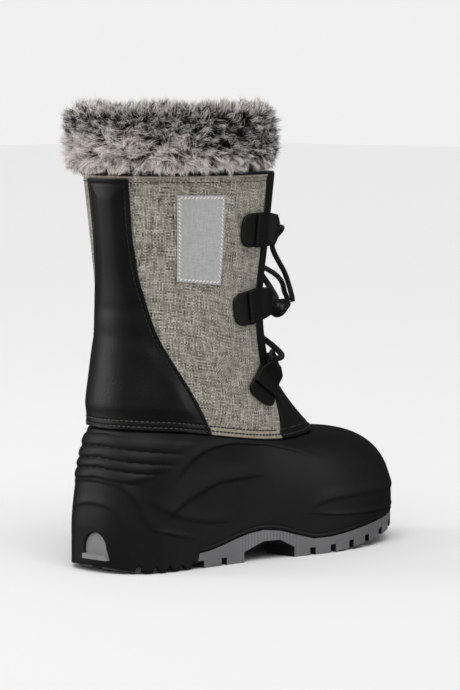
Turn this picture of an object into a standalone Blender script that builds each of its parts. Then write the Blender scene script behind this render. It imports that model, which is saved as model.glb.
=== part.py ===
"""A child's snow boot for the right foot: a moulded rubber foot shell on a two-colour
lugged sole, a cloth shaft with a leather backstay, a fur collar and a lace with a toggle.

The toe points along +X, the outer side of the foot is -Y, and +Z is up. The origin is on the
floor under the middle of the heel. All sizes here are in millimetres."""

import math

import bmesh
import bpy
import numpy as np
from mathutils import Vector

MM = 0.001

# Driving sizes
SOLE_LENGTH = 228.0
HEEL_SETBACK = 35.5
BALL_WIDTH = 90.0
HEEL_WIDTH = 69.0
SKIRT_HEIGHT = 24.0
TOPLINE_HEIGHT = 77.0
SHELL_WALL = 3.0
FLANGE_HEIGHT = 8.0
FLANGE_WALL = 1.8
RIB_DEPTH = 1.5
COLLAR_HEIGHT = 216.0
SHAFT_DEPTH = 116.0
SHAFT_WIDTH = 90.0
SHAFT_WALL = 2.6
LEATHER = 1.2
GAP = 0.3
SAG = 0.45

# Sole
GRIP_DEPTH = 4.5
TOE_SPRING = 12.0
RIM_SPRING = 8.5
HEEL_BEVEL = 3.0
SKIRT_CLEARANCE = 0.6
HEEL_STEP_X = 12.0
ARCH_START_X = 53.0
ARCH_END_X = 82.0
ARCH_PEAK_X = 62.0
ARCH_EASE = 8.0
RIM_LEVEL_X = 103.0
RIM_HEIGHT = 9.0
ARCH_HEIGHT = 17.5
BED_HEEL = 21.0
BED_BALL = 13.0
INSOLE_THICKNESS = 4.0
WINDOW_WIDTH = 17.0
WINDOW_TOP = 22.0
WINDOW_Y = -2.5
WINDOW_FOOT = 7.0
WINDOW_DEPTH = 1.4
WINDOW_FLARE = 2.4
LEDGE_HEIGHT = 2.6
LEDGE_REACH = 1.5
ARCH_LIFT = 6.5
BAND_LEAST = 4.0
BAND_INSET = 0.4
GRIP_OVERLAP = 1.6
GRIP_WALL_GAP = 1.0
GRIP_STEP_GAP = 5.0
GRIP_TOE_GAP = 4.0
HEEL_GRIP_SLACK = 6.0
BED_OVER_RIM = 0.5
CUT_MARGIN = 6.0
CUT_LOW = -10.0
WINDOW_CUT_OUTSIDE = 8.0
WINDOW_CUT_INSIDE = 2.0

TOE_X = SOLE_LENGTH - HEEL_SETBACK
SPRING_START_X = 0.46 * TOE_X
BEVEL_START_X = -0.45 * HEEL_SETBACK

# Trim
SADDLE_WALL = SHAFT_WALL - 0.4
BINDING_WIDTH = 3.2
BINDING_GAP = 0.42
BINDING_PROUD = 0.3
BINDING_WALL = SHAFT_WALL + 0.5
PATCH_WIDTH = 28.0
PATCH_HEIGHT = 48.0
PATCH_THICKNESS = 0.9
TAB_LENGTH = 30.0
TAB_WIDTH = 19.0
TAB_THICKNESS = 2.2
TAB_BACK = 2.0
RING_WIRE = 1.1
RING_LENGTH = 10.0
RING_WIDTH = 11.0
RING_CORNER = 2.2
LACE_RADIUS = 1.7
LACE_CLEAR = 0.95
LACE_OVER_SKIN = 2.4
LACE_END_RADIUS = LACE_RADIUS - 0.2
TONGUE_THICKNESS = 4.0
TONGUE_RECESS = 4.2
TONGUE_FULLNESS = 1.6
FUR_HEIGHT = 38.0
FUR_WIDTH = 17.0
FUR_OVERHANG_BACK = 8.5
FUR_OVERHANG_FRONT = -1.5
LOCK_LENGTH = 2.6
TOGGLE_LENGTH = 13.0
TOGGLE_RADIUS = 4.2
TOGGLE_LIFT = 20.0

# The last, a row for each station round the foot from the back of the heel, inner side first.
# sole_x is a share of SOLE_LENGTH, sole_y of the local sole width, top_x of the length of the
# shell's opening, top_y of its width, top_z of TOPLINE_HEIGHT, and round says how far the
# wall bows over between sole and opening, from 0, straight, to 1, a full quarter turn.
LAST_COLUMNS = ("sole_x", "sole_y", "top_x", "top_y", "top_z", "round")
LAST = np.array([
    (0.000, 0.000, 0.000, 0.000, 1.000, 0.35),
    (0.016, 0.272, 0.030, 0.255, 1.000, 0.35),
    (0.090, 0.465, 0.140, 0.450, 0.985, 0.40),
    (0.240, 0.490, 0.310, 0.500, 0.935, 0.50),
    (0.400, 0.460, 0.500, 0.490, 0.880, 0.60),
    (0.550, 0.455, 0.660, 0.440, 0.850, 0.75),
    (0.700, 0.495, 0.800, 0.360, 0.850, 0.90),
    (0.840, 0.460, 0.910, 0.250, 0.858, 1.00),
    (0.955, 0.290, 0.980, 0.130, 0.868, 1.00),
    (1.000, 0.030, 1.000, 0.010, 0.872, 1.00),
    (0.965, -0.230, 0.980, -0.120, 0.868, 1.00),
    (0.865, -0.420, 0.910, -0.250, 0.858, 1.00),
    (0.720, -0.500, 0.800, -0.360, 0.850, 0.90),
    (0.560, -0.495, 0.660, -0.440, 0.850, 0.75),
    (0.400, -0.480, 0.500, -0.490, 0.880, 0.60),
    (0.240, -0.500, 0.310, -0.500, 0.935, 0.50),
    (0.090, -0.465, 0.140, -0.450, 0.985, 0.40),
    (0.016, -0.272, 0.030, -0.255, 1.000, 0.35),
])
STATIONS = len(LAST)
TOE = STATIONS / 2

# The shaft, a row for each level from the shell's opening up to the collar. height is a share
# of the shaft's height, back and front of SHAFT_DEPTH, width of SHAFT_WIDTH, and throat is the
# half opening at the front, in stations of the last.
SHAFT_COLUMNS = ("height", "back", "front", "width", "throat")
SHAFT = np.array([
    (0.00, -0.207, 1.155, 0.800, 4.05),
    (0.10, -0.196, 0.990, 0.810, 3.25),
    (0.20, -0.178, 0.860, 0.830, 2.72),
    (0.32, -0.164, 0.758, 0.850, 2.42),
    (0.50, -0.160, 0.707, 0.870, 2.35),
    (0.75, -0.187, 0.733, 0.940, 2.35),
    (1.00, -0.224, 0.776, 1.000, 2.45),
])

# The heel's ribs: low and high edge as shares of the wall above the skirt.
RIBS = ((0.36, 0.48), (0.54, 0.65), (0.71, 0.81), (0.87, 0.95))
RIB_REACH = 3.6
RIB_FADE = 1.2
RIB_STEP = 0.02
RIB_TOP = 0.25

# The lace tabs, top first: level on the shaft and tilt of the tab in degrees.
TABS = ((0.79, 0.0), (0.525, 8.0), (0.275, 40.0))
SIDES = {"lateral": -1, "medial": 1}


def smooth(value, low, high):
    """0 below low, 1 above high, with a soft turn at both."""
    share = np.clip((value - low) / (high - low), 0, 1)
    return share * share * (3 - 2 * share)


def last_at(column, station):
    """A column of LAST at any station, on a closed curve through its rows."""
    values = LAST[:, LAST_COLUMNS.index(column)]
    base = np.floor(station)
    share = station - base
    index = base.astype(int)
    p0, p1, p2, p3 = (values[(index + step) % STATIONS] for step in (-1, 0, 1, 2))
    return p1 + 0.5 * share * (
        p2 - p0 + share * (2 * p0 - 5 * p1 + 4 * p2 - p3 + share * (3 * (p1 - p2) + p3 - p0))
    )


def shaft_at(column, level):
    """A column of SHAFT at any level, on a curve with the rows' own slopes."""
    levels = SHAFT[:, 0]
    values = SHAFT[:, SHAFT_COLUMNS.index(column)]
    slopes = np.gradient(values, levels)
    index = np.clip(np.searchsorted(levels, level, side="right") - 1, 0, len(levels) - 2)
    width = levels[index + 1] - levels[index]
    s = (level - levels[index]) / width
    return (
        (1 + 2 * s) * (1 - s) ** 2 * values[index]
        + s * (1 - s) ** 2 * width * slopes[index]
        + s * s * (3 - 2 * s) * values[index + 1]
        + s * s * (s - 1) * width * slopes[index + 1]
    )


def sole_edge(station):
    """The sole's outline: x and y at each station."""
    share = last_at("sole_x", station)
    width = HEEL_WIDTH + (BALL_WIDTH - HEEL_WIDTH) * smooth(share, 0.2, 0.68)
    return share * SOLE_LENGTH - HEEL_SETBACK, last_at("sole_y", station) * width


def shaft_point(station, level):
    """The outer skin of the shaft, from the shell's opening at level 0 to the collar at 1."""
    back = shaft_at("back", level) * SHAFT_DEPTH
    front = shaft_at("front", level) * SHAFT_DEPTH
    half_width = shaft_at("width", level) * SHAFT_WIDTH / 2
    turn = math.pi * station / TOE
    roundness = 0.92
    oval = smooth(level, 0.0, 0.4)
    across = np.sin(turn)
    along = (1 - oval) * (2 * last_at("top_x", station) - 1) - oval * np.cos(turn)
    side = (1 - oval) * 2 * last_at("top_y", station) + oval * np.sign(across) * np.abs(across) ** roundness
    low = last_at("top_z", station) * TOPLINE_HEIGHT
    return np.stack([
        (back + front) / 2 + along * (front - back) / 2,
        side * half_width,
        low + (COLLAR_HEIGHT - low) * level,
    ], axis=-1)


def shell_point(station, level):
    """The outer skin of the rubber shell, from the floor at level -1, past the top of the
    skirt at 0, to the shell's opening at 1."""
    x, y = sole_edge(station)
    top = shaft_point(station, np.zeros_like(station))
    up = np.clip(level, 0, 1)
    turn = up * math.pi / 2
    power = 2 / 2.35
    bow = last_at("round", station)
    inward = (1 - bow) * up ** 1.15 + bow * (1 - np.cos(turn) ** power)
    rise = (1 - bow) * up + bow * np.sin(turn) ** power
    z = SKIRT_HEIGHT + (top[..., 2] - SKIRT_HEIGHT) * rise + SKIRT_HEIGHT * np.minimum(level, 0)
    return np.stack([x + (top[..., 0] - x) * inward, y + (top[..., 1] - y) * inward, z], axis=-1)


def normals(skin, station, level):
    """The outward direction of a skin function, from two small steps along it."""
    step = 0.02
    low = -1 if skin is shell_point else 0
    along = skin(station + step, level) - skin(station - step, level)
    above, below = np.minimum(level + step, 1), np.maximum(level - step, low)
    upward = skin(station, above) - skin(station, below)
    out = np.cross(upward, along)
    return out / np.linalg.norm(out, axis=-1, keepdims=True)


def offset(skin, station, level, distance):
    """Points at a distance outside a skin, or inside where it is negative."""
    return skin(station, level) + normals(skin, station, level) * np.asarray(distance)[..., None]


def material(name, colour, roughness, metallic=0.0):
    made = bpy.data.materials.new(name)
    made.use_nodes = True
    surface = made.node_tree.nodes["Principled BSDF"]
    surface.inputs["Base Color"].default_value = (*colour, 1)
    surface.inputs["Roughness"].default_value = roughness
    surface.inputs["Metallic"].default_value = metallic
    return made


def add_object(name, points, faces, finish):
    """An object from points in millimetres, with its faces turned outwards."""
    mesh = bpy.data.meshes.new(name)
    mesh.from_pydata([Vector(p) * MM for p in np.asarray(points, float)], [], faces)
    tidy = bmesh.new()
    tidy.from_mesh(mesh)
    bmesh.ops.recalc_face_normals(tidy, faces=tidy.faces)
    tidy.to_mesh(mesh)
    tidy.free()
    mesh.materials.append(finish)
    mesh.shade_smooth()
    mesh.set_sharp_from_angle(angle=math.radians(40))
    made = bpy.data.objects.new(name, mesh)
    bpy.context.scene.collection.objects.link(made)
    return made


def grid_faces(rows, columns, start=0, closed=False):
    """The quads of a grid of points, whose columns may close into a ring."""
    last = columns if closed else columns - 1
    return [
        (
            start + r * columns + c,
            start + r * columns + (c + 1) % columns,
            start + (r + 1) * columns + (c + 1) % columns,
            start + (r + 1) * columns + c,
        )
        for r in range(rows - 1)
        for c in range(last)
    ]


def closed_wall(name, outer, inner, finish):
    """A ring of wall from two grids of rings, whose end rings are bridged."""
    columns = outer.shape[1]
    rings = np.concatenate([outer, inner[::-1]])
    rows = len(rings)
    faces = grid_faces(rows, columns, closed=True)
    end = (rows - 1) * columns
    faces += [(end + c, end + (c + 1) % columns, (c + 1) % columns, c) for c in range(columns)]
    return add_object(name, rings.reshape(-1, 3), faces, finish)


def panel(name, surface, finish, thickness, outward=True):
    """A sheet of material: a grid of points given its thickness by Solidify."""
    rows, columns = surface.shape[:2]
    made = add_object(name, surface.reshape(-1, 3), grid_faces(rows, columns), finish)
    ahead = made.data.polygons[0].normal
    corner = Vector(surface[1, 1] - surface[0, 0])
    along = Vector(surface[0, 1] - surface[0, 0])
    facing = corner.cross(along).dot(ahead)
    solid = made.modifiers.new("Thickness", "SOLIDIFY")
    solid.thickness = thickness * MM
    solid.offset = (1 if outward else -1) * (1 if facing > 0 else -1)
    solid.use_even_offset = True
    return made


def boolean(target, other, operation):
    """Joins or cuts with another object, which stays as a hidden helper."""
    step = target.modifiers.new(other.name, "BOOLEAN")
    step.operation = operation
    step.solver = "EXACT"
    step.object = other
    other.hide_render = True
    other.display_type = "WIRE"
    return target


def tube(name, path, radius, finish, sides=2, cyclic=False):
    """A cord or wire along a path."""
    curve = bpy.data.curves.new(name, "CURVE")
    curve.dimensions = "3D"
    curve.bevel_depth = radius * MM
    curve.bevel_resolution = sides
    curve.use_fill_caps = not cyclic
    spline = curve.splines.new("POLY")
    spline.points.add(len(path) - 1)
    for point, place in zip(spline.points, path):
        point.co = (*(Vector(place) * MM), 1)
    spline.use_cyclic_u = cyclic
    curve.materials.append(finish)
    made = bpy.data.objects.new(name, curve)
    bpy.context.scene.collection.objects.link(made)
    return made


def meshed(curve_object):
    """The same tube as a mesh, so that a Boolean can take it."""
    graph = bpy.context.evaluated_depsgraph_get()
    mesh = bpy.data.meshes.new_from_object(curve_object.evaluated_get(graph))
    name, finish = curve_object.name, curve_object.data.materials[0]
    bpy.data.objects.remove(curve_object)
    made = bpy.data.objects.new(name, mesh)
    tidy = bmesh.new()
    tidy.from_mesh(mesh)
    bmesh.ops.remove_doubles(tidy, verts=tidy.verts, dist=0.01 * MM)
    bmesh.ops.recalc_face_normals(tidy, faces=tidy.faces)
    tidy.to_mesh(mesh)
    tidy.free()
    if not mesh.materials:
        mesh.materials.append(finish)
    bpy.context.scene.collection.objects.link(made)
    return made


def smooth_path(points, steps):
    """A smooth curve through hand-set points, with a number of steps between each two."""
    points = np.asarray(points, float)
    ends = np.concatenate([[2 * points[0] - points[1]], points, [2 * points[-1] - points[-2]]])
    path = []
    for i in range(1, len(ends) - 2):
        p0, p1, p2, p3 = ends[i - 1:i + 3]
        for s in np.linspace(0, 1, steps, endpoint=False):
            path.append(p1 + 0.5 * s * (
                p2 - p0 + s * (2 * p0 - 5 * p1 + 4 * p2 - p3 + s * (3 * (p1 - p2) + p3 - p0))
            ))
    path.append(points[-1])
    return np.array(path)


# The sole

def tread_z(x):
    """Height of the tread's lowest face: flat, with the toe spring and the bevelled heel."""
    spring = TOE_SPRING * np.clip((x - SPRING_START_X) / (TOE_X - SPRING_START_X), 0, 1) ** 2
    bevel = HEEL_BEVEL * np.clip((BEVEL_START_X - x) / (BEVEL_START_X + HEEL_SETBACK), 0, 1) ** 2
    return spring + bevel


def rim_z(x):
    """The line where the shell's lower edge meets the grey sole."""
    arch = smooth(x, HEEL_STEP_X, ARCH_PEAK_X) * (1 - smooth(x, ARCH_PEAK_X, RIM_LEVEL_X))
    return RIM_HEIGHT + (ARCH_HEIGHT - RIM_HEIGHT) * arch + RIM_SPRING * smooth(x, SPRING_START_X, TOE_X)


def bed_z(x):
    """The top of the sole inside the shell, which carries the insole."""
    rise = TOE_SPRING / 2 * smooth(x, SPRING_START_X, TOE_X)
    bed = BED_HEEL + (BED_BALL - BED_HEEL) * smooth(x, HEEL_STEP_X, RIM_LEVEL_X) + rise
    return np.maximum(bed, rim_z(x) - GAP + BED_OVER_RIM)


def outline(inset):
    """Both sides of the sole's outline moved inwards, as x and y from heel to toe."""
    station = np.linspace(0, STATIONS, 361)[:-1]
    x, y = sole_edge(station)
    dx, dy = (np.roll(v, -1) - np.roll(v, 1) for v in (x, y))
    size = np.hypot(dx, dy)
    x, y = x + dy / size * inset, y - dx / size * inset
    heel, toe = np.argmin(x), np.argmax(x)
    order = np.roll(np.arange(len(x)), -heel)
    cut = (toe - heel) % len(x)
    inner = order[:cut + 1]
    outer = np.concatenate([order[cut:], order[:1]])[::-1]
    return (x[inner], y[inner]), (x[outer], y[outer])


def slab(name, start, end, inset, low, high, finish, rows=30, across=(0, 1)):
    """A plate inside the sole's outline between two places along it, with its lower and upper
    height as functions of x. across is the part of the width that it takes, outer side 0."""
    (inner_x, inner_y), (outer_x, outer_y) = outline(inset)
    start, end = max(start, inner_x[0] + 0.05), min(end, inner_x[-1] - 0.05)
    x = start + (end - start) * (1 - np.cos(np.linspace(0, math.pi, rows))) / 2
    right, left = np.interp(x, outer_x, outer_y), np.interp(x, inner_x, inner_y)
    edges = [right + (left - right) * share for share in across]
    lower, upper = low(x), high(x)
    ring = np.stack([
        np.stack([x, edges[0], lower], -1), np.stack([x, edges[1], lower], -1),
        np.stack([x, edges[1], upper], -1), np.stack([x, edges[0], upper], -1),
    ], axis=1)
    faces = grid_faces(rows, 4, closed=True)
    faces += [(0, 1, 2, 3), tuple(4 * (rows - 1) + c for c in range(4))]
    return add_object(name, ring.reshape(-1, 3), faces, finish)


# Rows of grip blocks: where the first starts, their pitch, their length and their number, then
# the share of the width that the edge blocks take at each side. A middle block stands a share of
# the space between two blocks behind its pair.
GRIP_COLUMNS = ("start", "pitch", "length", "count", "edge")
GRIP_ROWS = (
    (-HEEL_SETBACK + SHELL_WALL + GRIP_WALL_GAP, 13.0, 10.0, 3, 0.30),
    (HEEL_STEP_X + GRIP_STEP_GAP, 17.0, 13.0, 2, 0.30),
    (ARCH_END_X, 15.0, 11.0, 7, 0.27),
)
MIDDLE_BLOCK = (0.40, 0.60)
MIDDLE_BEHIND = 0.2


def grip_blocks():
    """Each tread block: its start and end along the sole, and the shares of the width that it
    takes, with 0 at the outer side. A middle block stands behind each pair at the edges."""
    blocks = []
    for values in GRIP_ROWS:
        row = dict(zip(GRIP_COLUMNS, values))
        length, edge = row["length"], row["edge"]
        for k in range(round(row["count"])):
            place = row["start"] + k * row["pitch"]
            blocks += [(place, place + length, (0.0, edge)), (place, place + length, (1 - edge, 1.0))]
            middle = place - (row["pitch"] - length) * MIDDLE_BEHIND
            blocks.append((middle, middle + length, MIDDLE_BLOCK))
    return blocks


def groove_z(x):
    """The floor of the grooves between the grip blocks, which rises under the arch."""
    return tread_z(x) + GRIP_DEPTH + arch_lift(x)


def arch_lift(x):
    """How far the sole's side band rises off the tread under the arch."""
    rising = smooth(x, ARCH_START_X - ARCH_EASE, ARCH_START_X + ARCH_EASE / 2)
    falling = smooth(x, ARCH_END_X - ARCH_EASE, ARCH_END_X + ARCH_EASE / 2)
    return ARCH_LIFT * rising * (1 - falling)


def band_z(x):
    """The lower edge of the side band: over the grooves, and up under the arch."""
    return np.minimum(groove_z(x) - GAP, rim_z(x) - BAND_LEAST)


def make_outsole(grey):
    """The sole: a plateau inside the shell, a flange under its edge, and the grip blocks."""
    inside = SHELL_WALL + GAP + 2 * SAG
    sole = slab("outsole", -HEEL_SETBACK, TOE_X, inside, groove_z, bed_z, grey, 26)
    front = slab(
        "sole_flange", HEEL_STEP_X + GAP, TOE_X, BAND_INSET,
        band_z, lambda x: rim_z(x) - GAP - SAG / 2, grey, 24,
    )
    boolean(sole, front, "UNION")
    for number, (start, end, across) in enumerate(grip_blocks()):
        at_heel = end < HEEL_STEP_X + HEEL_GRIP_SLACK
        inset = inside if at_heel else BAND_INSET
        made = slab(
            f"grip_{number}", start, min(end, TOE_X - GRIP_TOE_GAP), inset,
            tread_z, lambda x: band_z(x) + GRIP_OVERLAP, grey, 3, across,
        )
        boolean(sole, made, "UNION")
    return sole


# The shell and the parts that stand on it

SHELL_COLUMNS = 44
SHELL_INSIDE_LEVELS = (-1.0, 0.0, 0.3, 0.6, 0.94)


def shell_rows():
    """Levels of the shell's rings, and how far each stands out over the heel as a rib."""
    rows = [(-1.0, 0), (0.0, 0), (0.16, 0)]
    for low, high in RIBS:
        rows += [(low - RIB_STEP, 0), (low, 1), (high, RIB_TOP)]
    return rows + [(1.0, 0)]


def make_shell(black):
    """The rubber shell: a wall of even thickness with ribs round the heel, a window at the
    back, a lower edge cut along the sole, and a flange that the shaft is sewn to."""
    station = np.arange(0, STATIONS, STATIONS / SHELL_COLUMNS)
    heel_side = np.minimum(station, STATIONS - station)
    reach = 1 - smooth(heel_side, RIB_REACH - RIB_FADE, RIB_REACH)
    outer = []
    for level, rib in shell_rows():
        flat = np.full_like(station, level)
        outer.append(offset(shell_point, station, flat, rib * RIB_DEPTH * reach))
    flange_levels = (0.0, FLANGE_HEIGHT / (COLLAR_HEIGHT - TOPLINE_HEIGHT))
    step_in = SHAFT_WALL + GAP + SAG / 2
    outer += [
        offset(shaft_point, station, np.full_like(station, level), np.full_like(station, -step_in))
        for level in flange_levels
    ]
    inner = [
        offset(shell_point, station, np.full_like(station, level), np.full_like(station, -SHELL_WALL))
        for level in SHELL_INSIDE_LEVELS
    ]
    inner += [
        offset(shaft_point, station, np.full_like(station, level),
               np.full_like(station, -step_in - FLANGE_WALL))
        for level in flange_levels
    ]
    shell = closed_wall("shell", np.array(outer), np.array(inner), black)
    boolean(shell, sole_space(black), "DIFFERENCE")
    boolean(shell, window_cutter(black), "DIFFERENCE")
    return shell


def sole_space(finish):
    """The space under the shell that the sole fills: all below the rim line in front of the
    heel step, and a little above the floor under the heel."""
    x = np.linspace(HEEL_STEP_X, TOE_X + CUT_MARGIN, 36)
    behind = -HEEL_SETBACK - CUT_MARGIN
    profile = [(behind, CUT_LOW), (behind, HEEL_BEVEL + SKIRT_CLEARANCE)]
    profile += [(BEVEL_START_X, SKIRT_CLEARANCE), (HEEL_STEP_X, SKIRT_CLEARANCE)]
    profile += [(float(a), float(b)) for a, b in zip(x, rim_z(x))]
    profile.append((TOE_X + CUT_MARGIN, CUT_LOW))
    count = len(profile)
    points = [(a, y, b) for y in (-BALL_WIDTH, BALL_WIDTH) for a, b in profile]
    faces = [(k, (k + 1) % count, count + (k + 1) % count, count + k) for k in range(count)]
    faces += [tuple(range(count)), tuple(range(count, 2 * count))]
    return add_object("sole_space", points, faces, finish)


def prism(name, outline_points, back, front, finish):
    """A block that runs along X, from its outline as y and z."""
    count = len(outline_points)
    points = [(x, y, z) for x in (back, front) for y, z in outline_points]
    faces = [(k, (k + 1) % count, count + (k + 1) % count, count + k) for k in range(count)]
    faces += [tuple(range(count)), tuple(range(count, 2 * count))]
    return add_object(name, points, faces, finish)


def window_sides(inset, z):
    """The outer and the inner side of the heel's window at a height. The outer side flares."""
    half_width = WINDOW_WIDTH / 2 - inset
    shoulder = WINDOW_TOP - WINDOW_WIDTH / 2
    flare = WINDOW_FLARE * max(shoulder - z, 0) / (shoulder - WINDOW_FOOT)
    return WINDOW_Y - half_width - flare, WINDOW_Y + half_width


def window_outline(inset):
    """The heel's window with its round head: y and z."""
    half_width = WINDOW_WIDTH / 2 - inset
    shoulder = WINDOW_TOP - WINDOW_WIDTH / 2
    foot = WINDOW_FOOT + inset
    arc = [
        (WINDOW_Y + half_width * math.cos(a), shoulder + half_width * math.sin(a))
        for a in np.linspace(0, math.pi, 10)
    ]
    return [(y, foot) for y in window_sides(inset, foot)] + arc


def window_cutter(finish):
    """The opening in the back of the heel."""
    back = -HEEL_SETBACK
    front = back + SHELL_WALL + WINDOW_CUT_INSIDE
    return prism("heel_window", window_outline(0), back - WINDOW_CUT_OUTSIDE, front, finish)


def make_heel_insert(grey):
    """The grey plug of the sole that shows in the heel's window, with its kick ledge."""
    back, front = -HEEL_SETBACK, -HEEL_SETBACK + SHELL_WALL
    plug = prism("heel_insert", window_outline(GAP), back + WINDOW_DEPTH, front, grey)
    low = WINDOW_FOOT + GAP
    high = low + LEDGE_HEIGHT
    corners = [(y, low) for y in window_sides(GAP, low)]
    corners += [(y, high) for y in reversed(window_sides(GAP, high))]
    ledge = prism("heel_ledge", corners, back - LEDGE_REACH, front, grey)
    return boolean(plug, ledge, "UNION")


def make_insole(felt):
    """The loose footbed that lies on the sole inside the shell."""
    return slab(
        "insole", -HEEL_SETBACK, TOE_X, SHELL_WALL + GAP + 3 * SAG, lambda x: bed_z(x) + GAP,
        lambda x: bed_z(x) + GAP + INSOLE_THICKNESS, felt, 30,
    )


# The shaft and what is sewn to it

def throat_edge(side, level):
    """Station of the shaft's front edge: side -1 is the outer side of the foot, 1 the inner."""
    return TOE - side * shaft_at("throat", level)


def skin_grid(levels, first, last, columns, distance=0.0):
    """A grid of points on the shaft's skin. first and last give the end stations of each level."""
    rows = []
    for level in levels:
        station = np.linspace(first(level), last(level), columns)
        flat = np.full_like(station, level)
        rows.append(offset(shaft_point, station, flat, np.full_like(station, distance)))
    return np.array(rows)


def stretch(station, level):
    """Millimetres per station, and per whole level, on the shaft's skin."""
    s, w = np.float64(station), np.float64(level)
    step = 0.01
    along = shaft_point(s + step, w) - shaft_point(s - step, w)
    upward = shaft_point(s, w + step) - shaft_point(s, w - step)
    return np.linalg.norm(along) / (2 * step), np.linalg.norm(upward) / (2 * step)


# The levels that the shaft and the backstay on it share.
FOOT_LEVEL = 0.005
SHAFT_LEVELS = (FOOT_LEVEL, 0.06, 0.12, 0.18, 0.25, 0.33, 0.42, 0.54, 0.68, 0.83, 0.975, 1.0)


def make_shaft(cloth):
    """The cloth shaft: one wall from the outer front edge round the back to the inner one."""
    surface = skin_grid(
        SHAFT_LEVELS, lambda w: throat_edge(-1, w), lambda w: STATIONS + throat_edge(1, w), 29,
    )
    return panel("shaft", surface, cloth, SHAFT_WALL, outward=False)


# How far the backstay reaches on the outer and on the inner side, in stations of the last, a row
# for each level of the shaft.
BACKSTAY_COLUMNS = ("level", "outer", "inner")
BACKSTAY = np.array([
    (0.00, 2.85, 2.85), (0.06, 2.80, 2.80), (0.12, 2.74, 2.74), (0.18, 2.58, 2.58), (0.285, 2.21, 2.21),
    (0.36, 1.88, 1.82), (0.45, 1.55, 1.43), (0.60, 1.13, 0.95), (0.76, 0.97, 0.77), (1.00, 0.97, 0.75),
])


def backstay_reach(column, level):
    return np.interp(level, BACKSTAY[:, 0], BACKSTAY[:, BACKSTAY_COLUMNS.index(column)])


def make_backstay(leather):
    """The leather panel up the back, wide over the heel and narrow under the collar."""
    surface = skin_grid(
        SHAFT_LEVELS[:-1], lambda w: -backstay_reach("outer", w), lambda w: backstay_reach("inner", w), 14,
        GAP + SAG,
    )
    return panel("backstay", surface, leather, LEATHER)


SADDLE_LOW = 0.17
SADDLE_SIDE = 0.245
SADDLE_EDGE = 0.04


def saddle_top(across):
    """Level of the saddle's upper edge, from its middle at 0 to its ends at -1 and 1."""
    return SADDLE_LOW + (SADDLE_SIDE - SADDLE_LOW) * np.abs(across) ** 1.6


def make_saddle(leather):
    """The leather saddle over the instep, between the front edges of the shaft."""
    columns, rows = 13, 6
    across = np.linspace(-1, 1, columns)
    grid = []
    for row in range(rows):
        level = FOOT_LEVEL + (saddle_top(across) - FOOT_LEVEL) * row / (rows - 1)
        reach = shaft_at("throat", level) - SADDLE_EDGE
        station = TOE + across * reach
        grid.append(offset(shaft_point, station, level, np.zeros_like(station)))
    return panel("saddle", np.array(grid), leather, SADDLE_WALL, outward=False)


def make_binding(name, side, leather):
    """The bound front edge of the shaft, from the saddle to the collar."""
    levels = [level for level in SHAFT_LEVELS if level > SADDLE_SIDE]

    def near(level):
        edge = throat_edge(side, level)
        return edge + side * BINDING_GAP / stretch(edge, min(level, SHAFT_LEVELS[-2]))[0]

    def far(level):
        edge = throat_edge(side, level)
        return edge + side * BINDING_WIDTH / stretch(edge, min(level, SHAFT_LEVELS[-2]))[0]

    first, last = (far, near) if side < 0 else (near, far)
    surface = skin_grid(levels, first, last, 3, BINDING_PROUD)
    return panel(name, surface, leather, BINDING_WALL, outward=False)


TONGUE_LEVELS = (0.11, 0.17, 0.24, 0.32, 0.42, 0.55, 0.7, 0.85, 0.991)
TONGUE_LAP = 0.35


def make_tongue(cloth):
    """The tongue behind the throat, a little fuller along its middle."""
    across = np.linspace(-1, 1, 9)
    rows = []
    for level in TONGUE_LEVELS:
        station = TOE + across * (shaft_at("throat", level) + TONGUE_LAP)
        fuller = TONGUE_FULLNESS * (1 - across ** 2) * smooth(level, 0.2, 0.4)
        rows.append(offset(shaft_point, station, np.full_like(station, level), fuller - TONGUE_RECESS))
    return panel("tongue", np.array(rows), cloth, TONGUE_THICKNESS, outward=False)


def on_skin(side, station, level, tilt, back, up, distance):
    """A point beside a place on the shaft: back and up are millimetres along the skin in a
    frame tilted by some degrees, and distance is the height over the skin."""
    per_station, per_level = stretch(station, level)
    turn = math.radians(tilt)
    along = back * math.cos(turn) + up * math.sin(turn)
    rise = -back * math.sin(turn) + up * math.cos(turn)
    across = np.float64(station - side * along / per_station)
    high = np.float64(level + rise / per_level)
    return offset(shaft_point, across, high, distance)


def on_shaft(side, level, tilt, back, up, distance):
    """The same, beside the shaft's front edge at a level."""
    return on_skin(side, float(throat_edge(side, level)), level, tilt, back + TAB_BACK, up, distance)


# Where the middle of the patch lies: station and level.
PATCH_PLACE = (14.72, 0.755)


def make_patch(silver):
    """The bare sewn-on patch on the outer side."""
    station, level = PATCH_PLACE
    grid = [
        [
            on_skin(-1, station, level, 0, across, up, GAP)
            for across in np.linspace(-PATCH_WIDTH / 2, PATCH_WIDTH / 2, 6)
        ]
        for up in np.linspace(-PATCH_HEIGHT / 2, PATCH_HEIGHT / 2, 6)
    ]
    return panel("side_patch", np.array(grid), silver, PATCH_THICKNESS)


TAB_SEAT = 0.75
FOLD_RADIUS = 3.0
FOLD_HOLE = 1.8
FOLD_AHEAD = 1.7
FOLD_WIDTH = 8.0


# The tab's half width as a share of its whole width, from the fold to the round sewn end.
TAB_SHAPE = np.array([
    (0.01, 0.42), (0.20, 0.49), (0.50, 0.50), (0.72, 0.48), (0.88, 0.37), (1.00, 0.12),
])


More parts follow.
